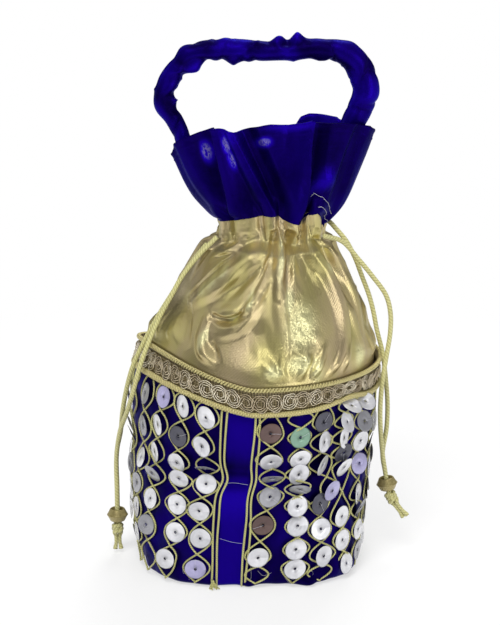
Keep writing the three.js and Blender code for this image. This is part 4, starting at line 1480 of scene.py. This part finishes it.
def sequin_column(column, stitches):
    """One column of sequins, with the stitch that holds each."""
    chance = np.random.default_rng(500 + column)
    work = Work()
    for number, (level, shift, tone, turn, nod) in enumerate(column_places(column)):
        distance = column_distance(column) + shift
        lift = 0.22 * (number % 2)
        spot, right, up, facing = sequin(work, distance, level, tone, turn, nod, lift, chance)
        way = chance.uniform(0, TURN)
        edge = math.cos(way) * right + math.sin(way) * up
        stitch = [spot - 0.3 * facing, spot + 0.25 * facing, spot + 2.5 * edge + 0.32 * facing]
        stitch += [spot + 4.7 * edge + 0.4 * facing, spot + 5.2 * edge - 0.3 * facing]
        stitches.tube(through(stitch, 0.7), THREAD_RADIUS, sides=4)
    name = f"{column:02d}"
    work.piece("sequins_" + name, SEQUIN, "sequin_film", replaces=["sequin_string_" + name])


def couched_cords():
    """Two cords down each column, couched so that they cross between its sequins."""
    work = Work()
    for column in range(1, COLUMNS + 1):
        chance = np.random.default_rng(900 + column)
        places = column_places(column)
        head = trim_level(STRIP_ANGLE + column_distance(column) / BELLY_HALF, 1.5)
        for side in (-1, 1):
            z, shift, swing = couching_path(places, side, head)
            reach = COUCHING_REACH + 0.5 * np.sin(z / chance.uniform(5, 9) + chance.uniform(0, TURN))
            wobble = 0.35 * np.sin(z / 2.3 + chance.uniform(0, TURN))
            distance = column_distance(column) + shift + swing * reach + wobble
            crossing = 1 - np.abs(swing)
            out = COUCHED_RADIUS + 0.1 + (side > 0) * 0.75 * crossing**3
            path = wall_point(distance, out, z)
            work.tube(path, COUCHED_RADIUS, sides=6)
    work.piece("couched_cords", ZARI, "zari_cord")


def zari_lines():
    """The double cords at the strip's sides, bent where the body creases."""
    lines = {
        "zari_left_outer": (-STRIP_HALF - ZARI_PITCH, 1.8, 0.3),
        "zari_left_inner": (-STRIP_HALF, 1.9, 1.1),
        "zari_right_inner": (STRIP_HALF, 0.9, 2.3),
        "zari_right_outer": (STRIP_HALF + ZARI_PITCH, 0.8, 4.1),
    }
    for name, (distance, kink, phase) in lines.items():
        z = np.arange(0.9, TRIM_BOTTOM - 0.3, 0.5)
        bent = kink * hump(z, 53.5, 4.5) - 0.5 * hump(z, 43, 6) + 0.3 * np.sin(z / 7 + phase)
        path = wall_point(distance + bent, ZARI_RADIUS + 0.12, z)
        work = Work()
        work.tube(path, ZARI_RADIUS, sides=10)
        work.piece("couched_" + name, ZARI, "zari_cord", replaces=[name])


# Distance from the strip's middle, and height
LOOSE_THREADS = [
    [(-5.5, 51.8), (-1, 52.2), (5.5, 51.4)], [(-5.5, 25), (0, 23.4), (5.8, 22.6)],
    [(10, 12), (11, 6), (10.5, 1.5)], [(14, 9), (17, 6.5), (21, 8)], [(26, 10), (28, 5), (31, 1.5)],
    [(24, 49), (27, 44), (25, 40)], [(38, 9), (41, 6), (40, 2)], [(-20, 12), (-22, 7), (-19, 3)],
]


def loose_threads():
    """Ends and jumps of the white sewing thread."""
    work = Work()
    for spots in LOOSE_THREADS:
        line = through([(distance, 0, z) for distance, z in spots], 0.6)
        work.tube(wall_point(line[:, 0], 0.5 + 0.25 * np.sin(line[:, 2]), line[:, 2]), THREAD_RADIUS, sides=4)
    work.piece("loose_threads", WHITE_THREAD, "sequin_film")


def tied_tuft():
    """The ends of the zari cords on the strip's left, tied off at the foot."""
    chance = np.random.default_rng(77)
    work = Work()
    root = wall_point(-STRIP_HALF - ZARI_PITCH / 2, 1.6, 2.4)
    for _ in range(9):
        start = root + (chance.uniform(-0.9, 0.9), chance.uniform(-0.4, 0.4), chance.uniform(0.4, 1.8))
        bend = root + (chance.uniform(-1.6, 1.6), chance.uniform(-1.8, -0.6), -0.4)
        end = root + (chance.uniform(-3.6, 3.6), chance.uniform(-3.2, -1), 0)
        end[2] = chance.uniform(0.45, 1.6)
        work.tube(through([start, bend, end], 0.5), 0.4, sides=6)
    work.piece("tied_tuft", ZARI, "zari_cord")


satin_wall()
covered_base()
gold_upper()
satin_ruffle()
handle_cover()
trim_band()
trim_rings()
twisted_edge("trim_rope", TRIM_HEIGHT - 0.7, 1.5, 0.64, 2, 116, ROPE)
twisted_edge("trim_braid", 0.8, 1.3, 0.78, 3, 92, ROPE)
stitches = Work()
for column in range(1, COLUMNS + 1):
    sequin_column(column, stitches)
stitches.piece("sequin_stitches", WHITE_THREAD, "sequin_film")
couched_cords()
zari_lines()
loose_threads()
tied_tuft()
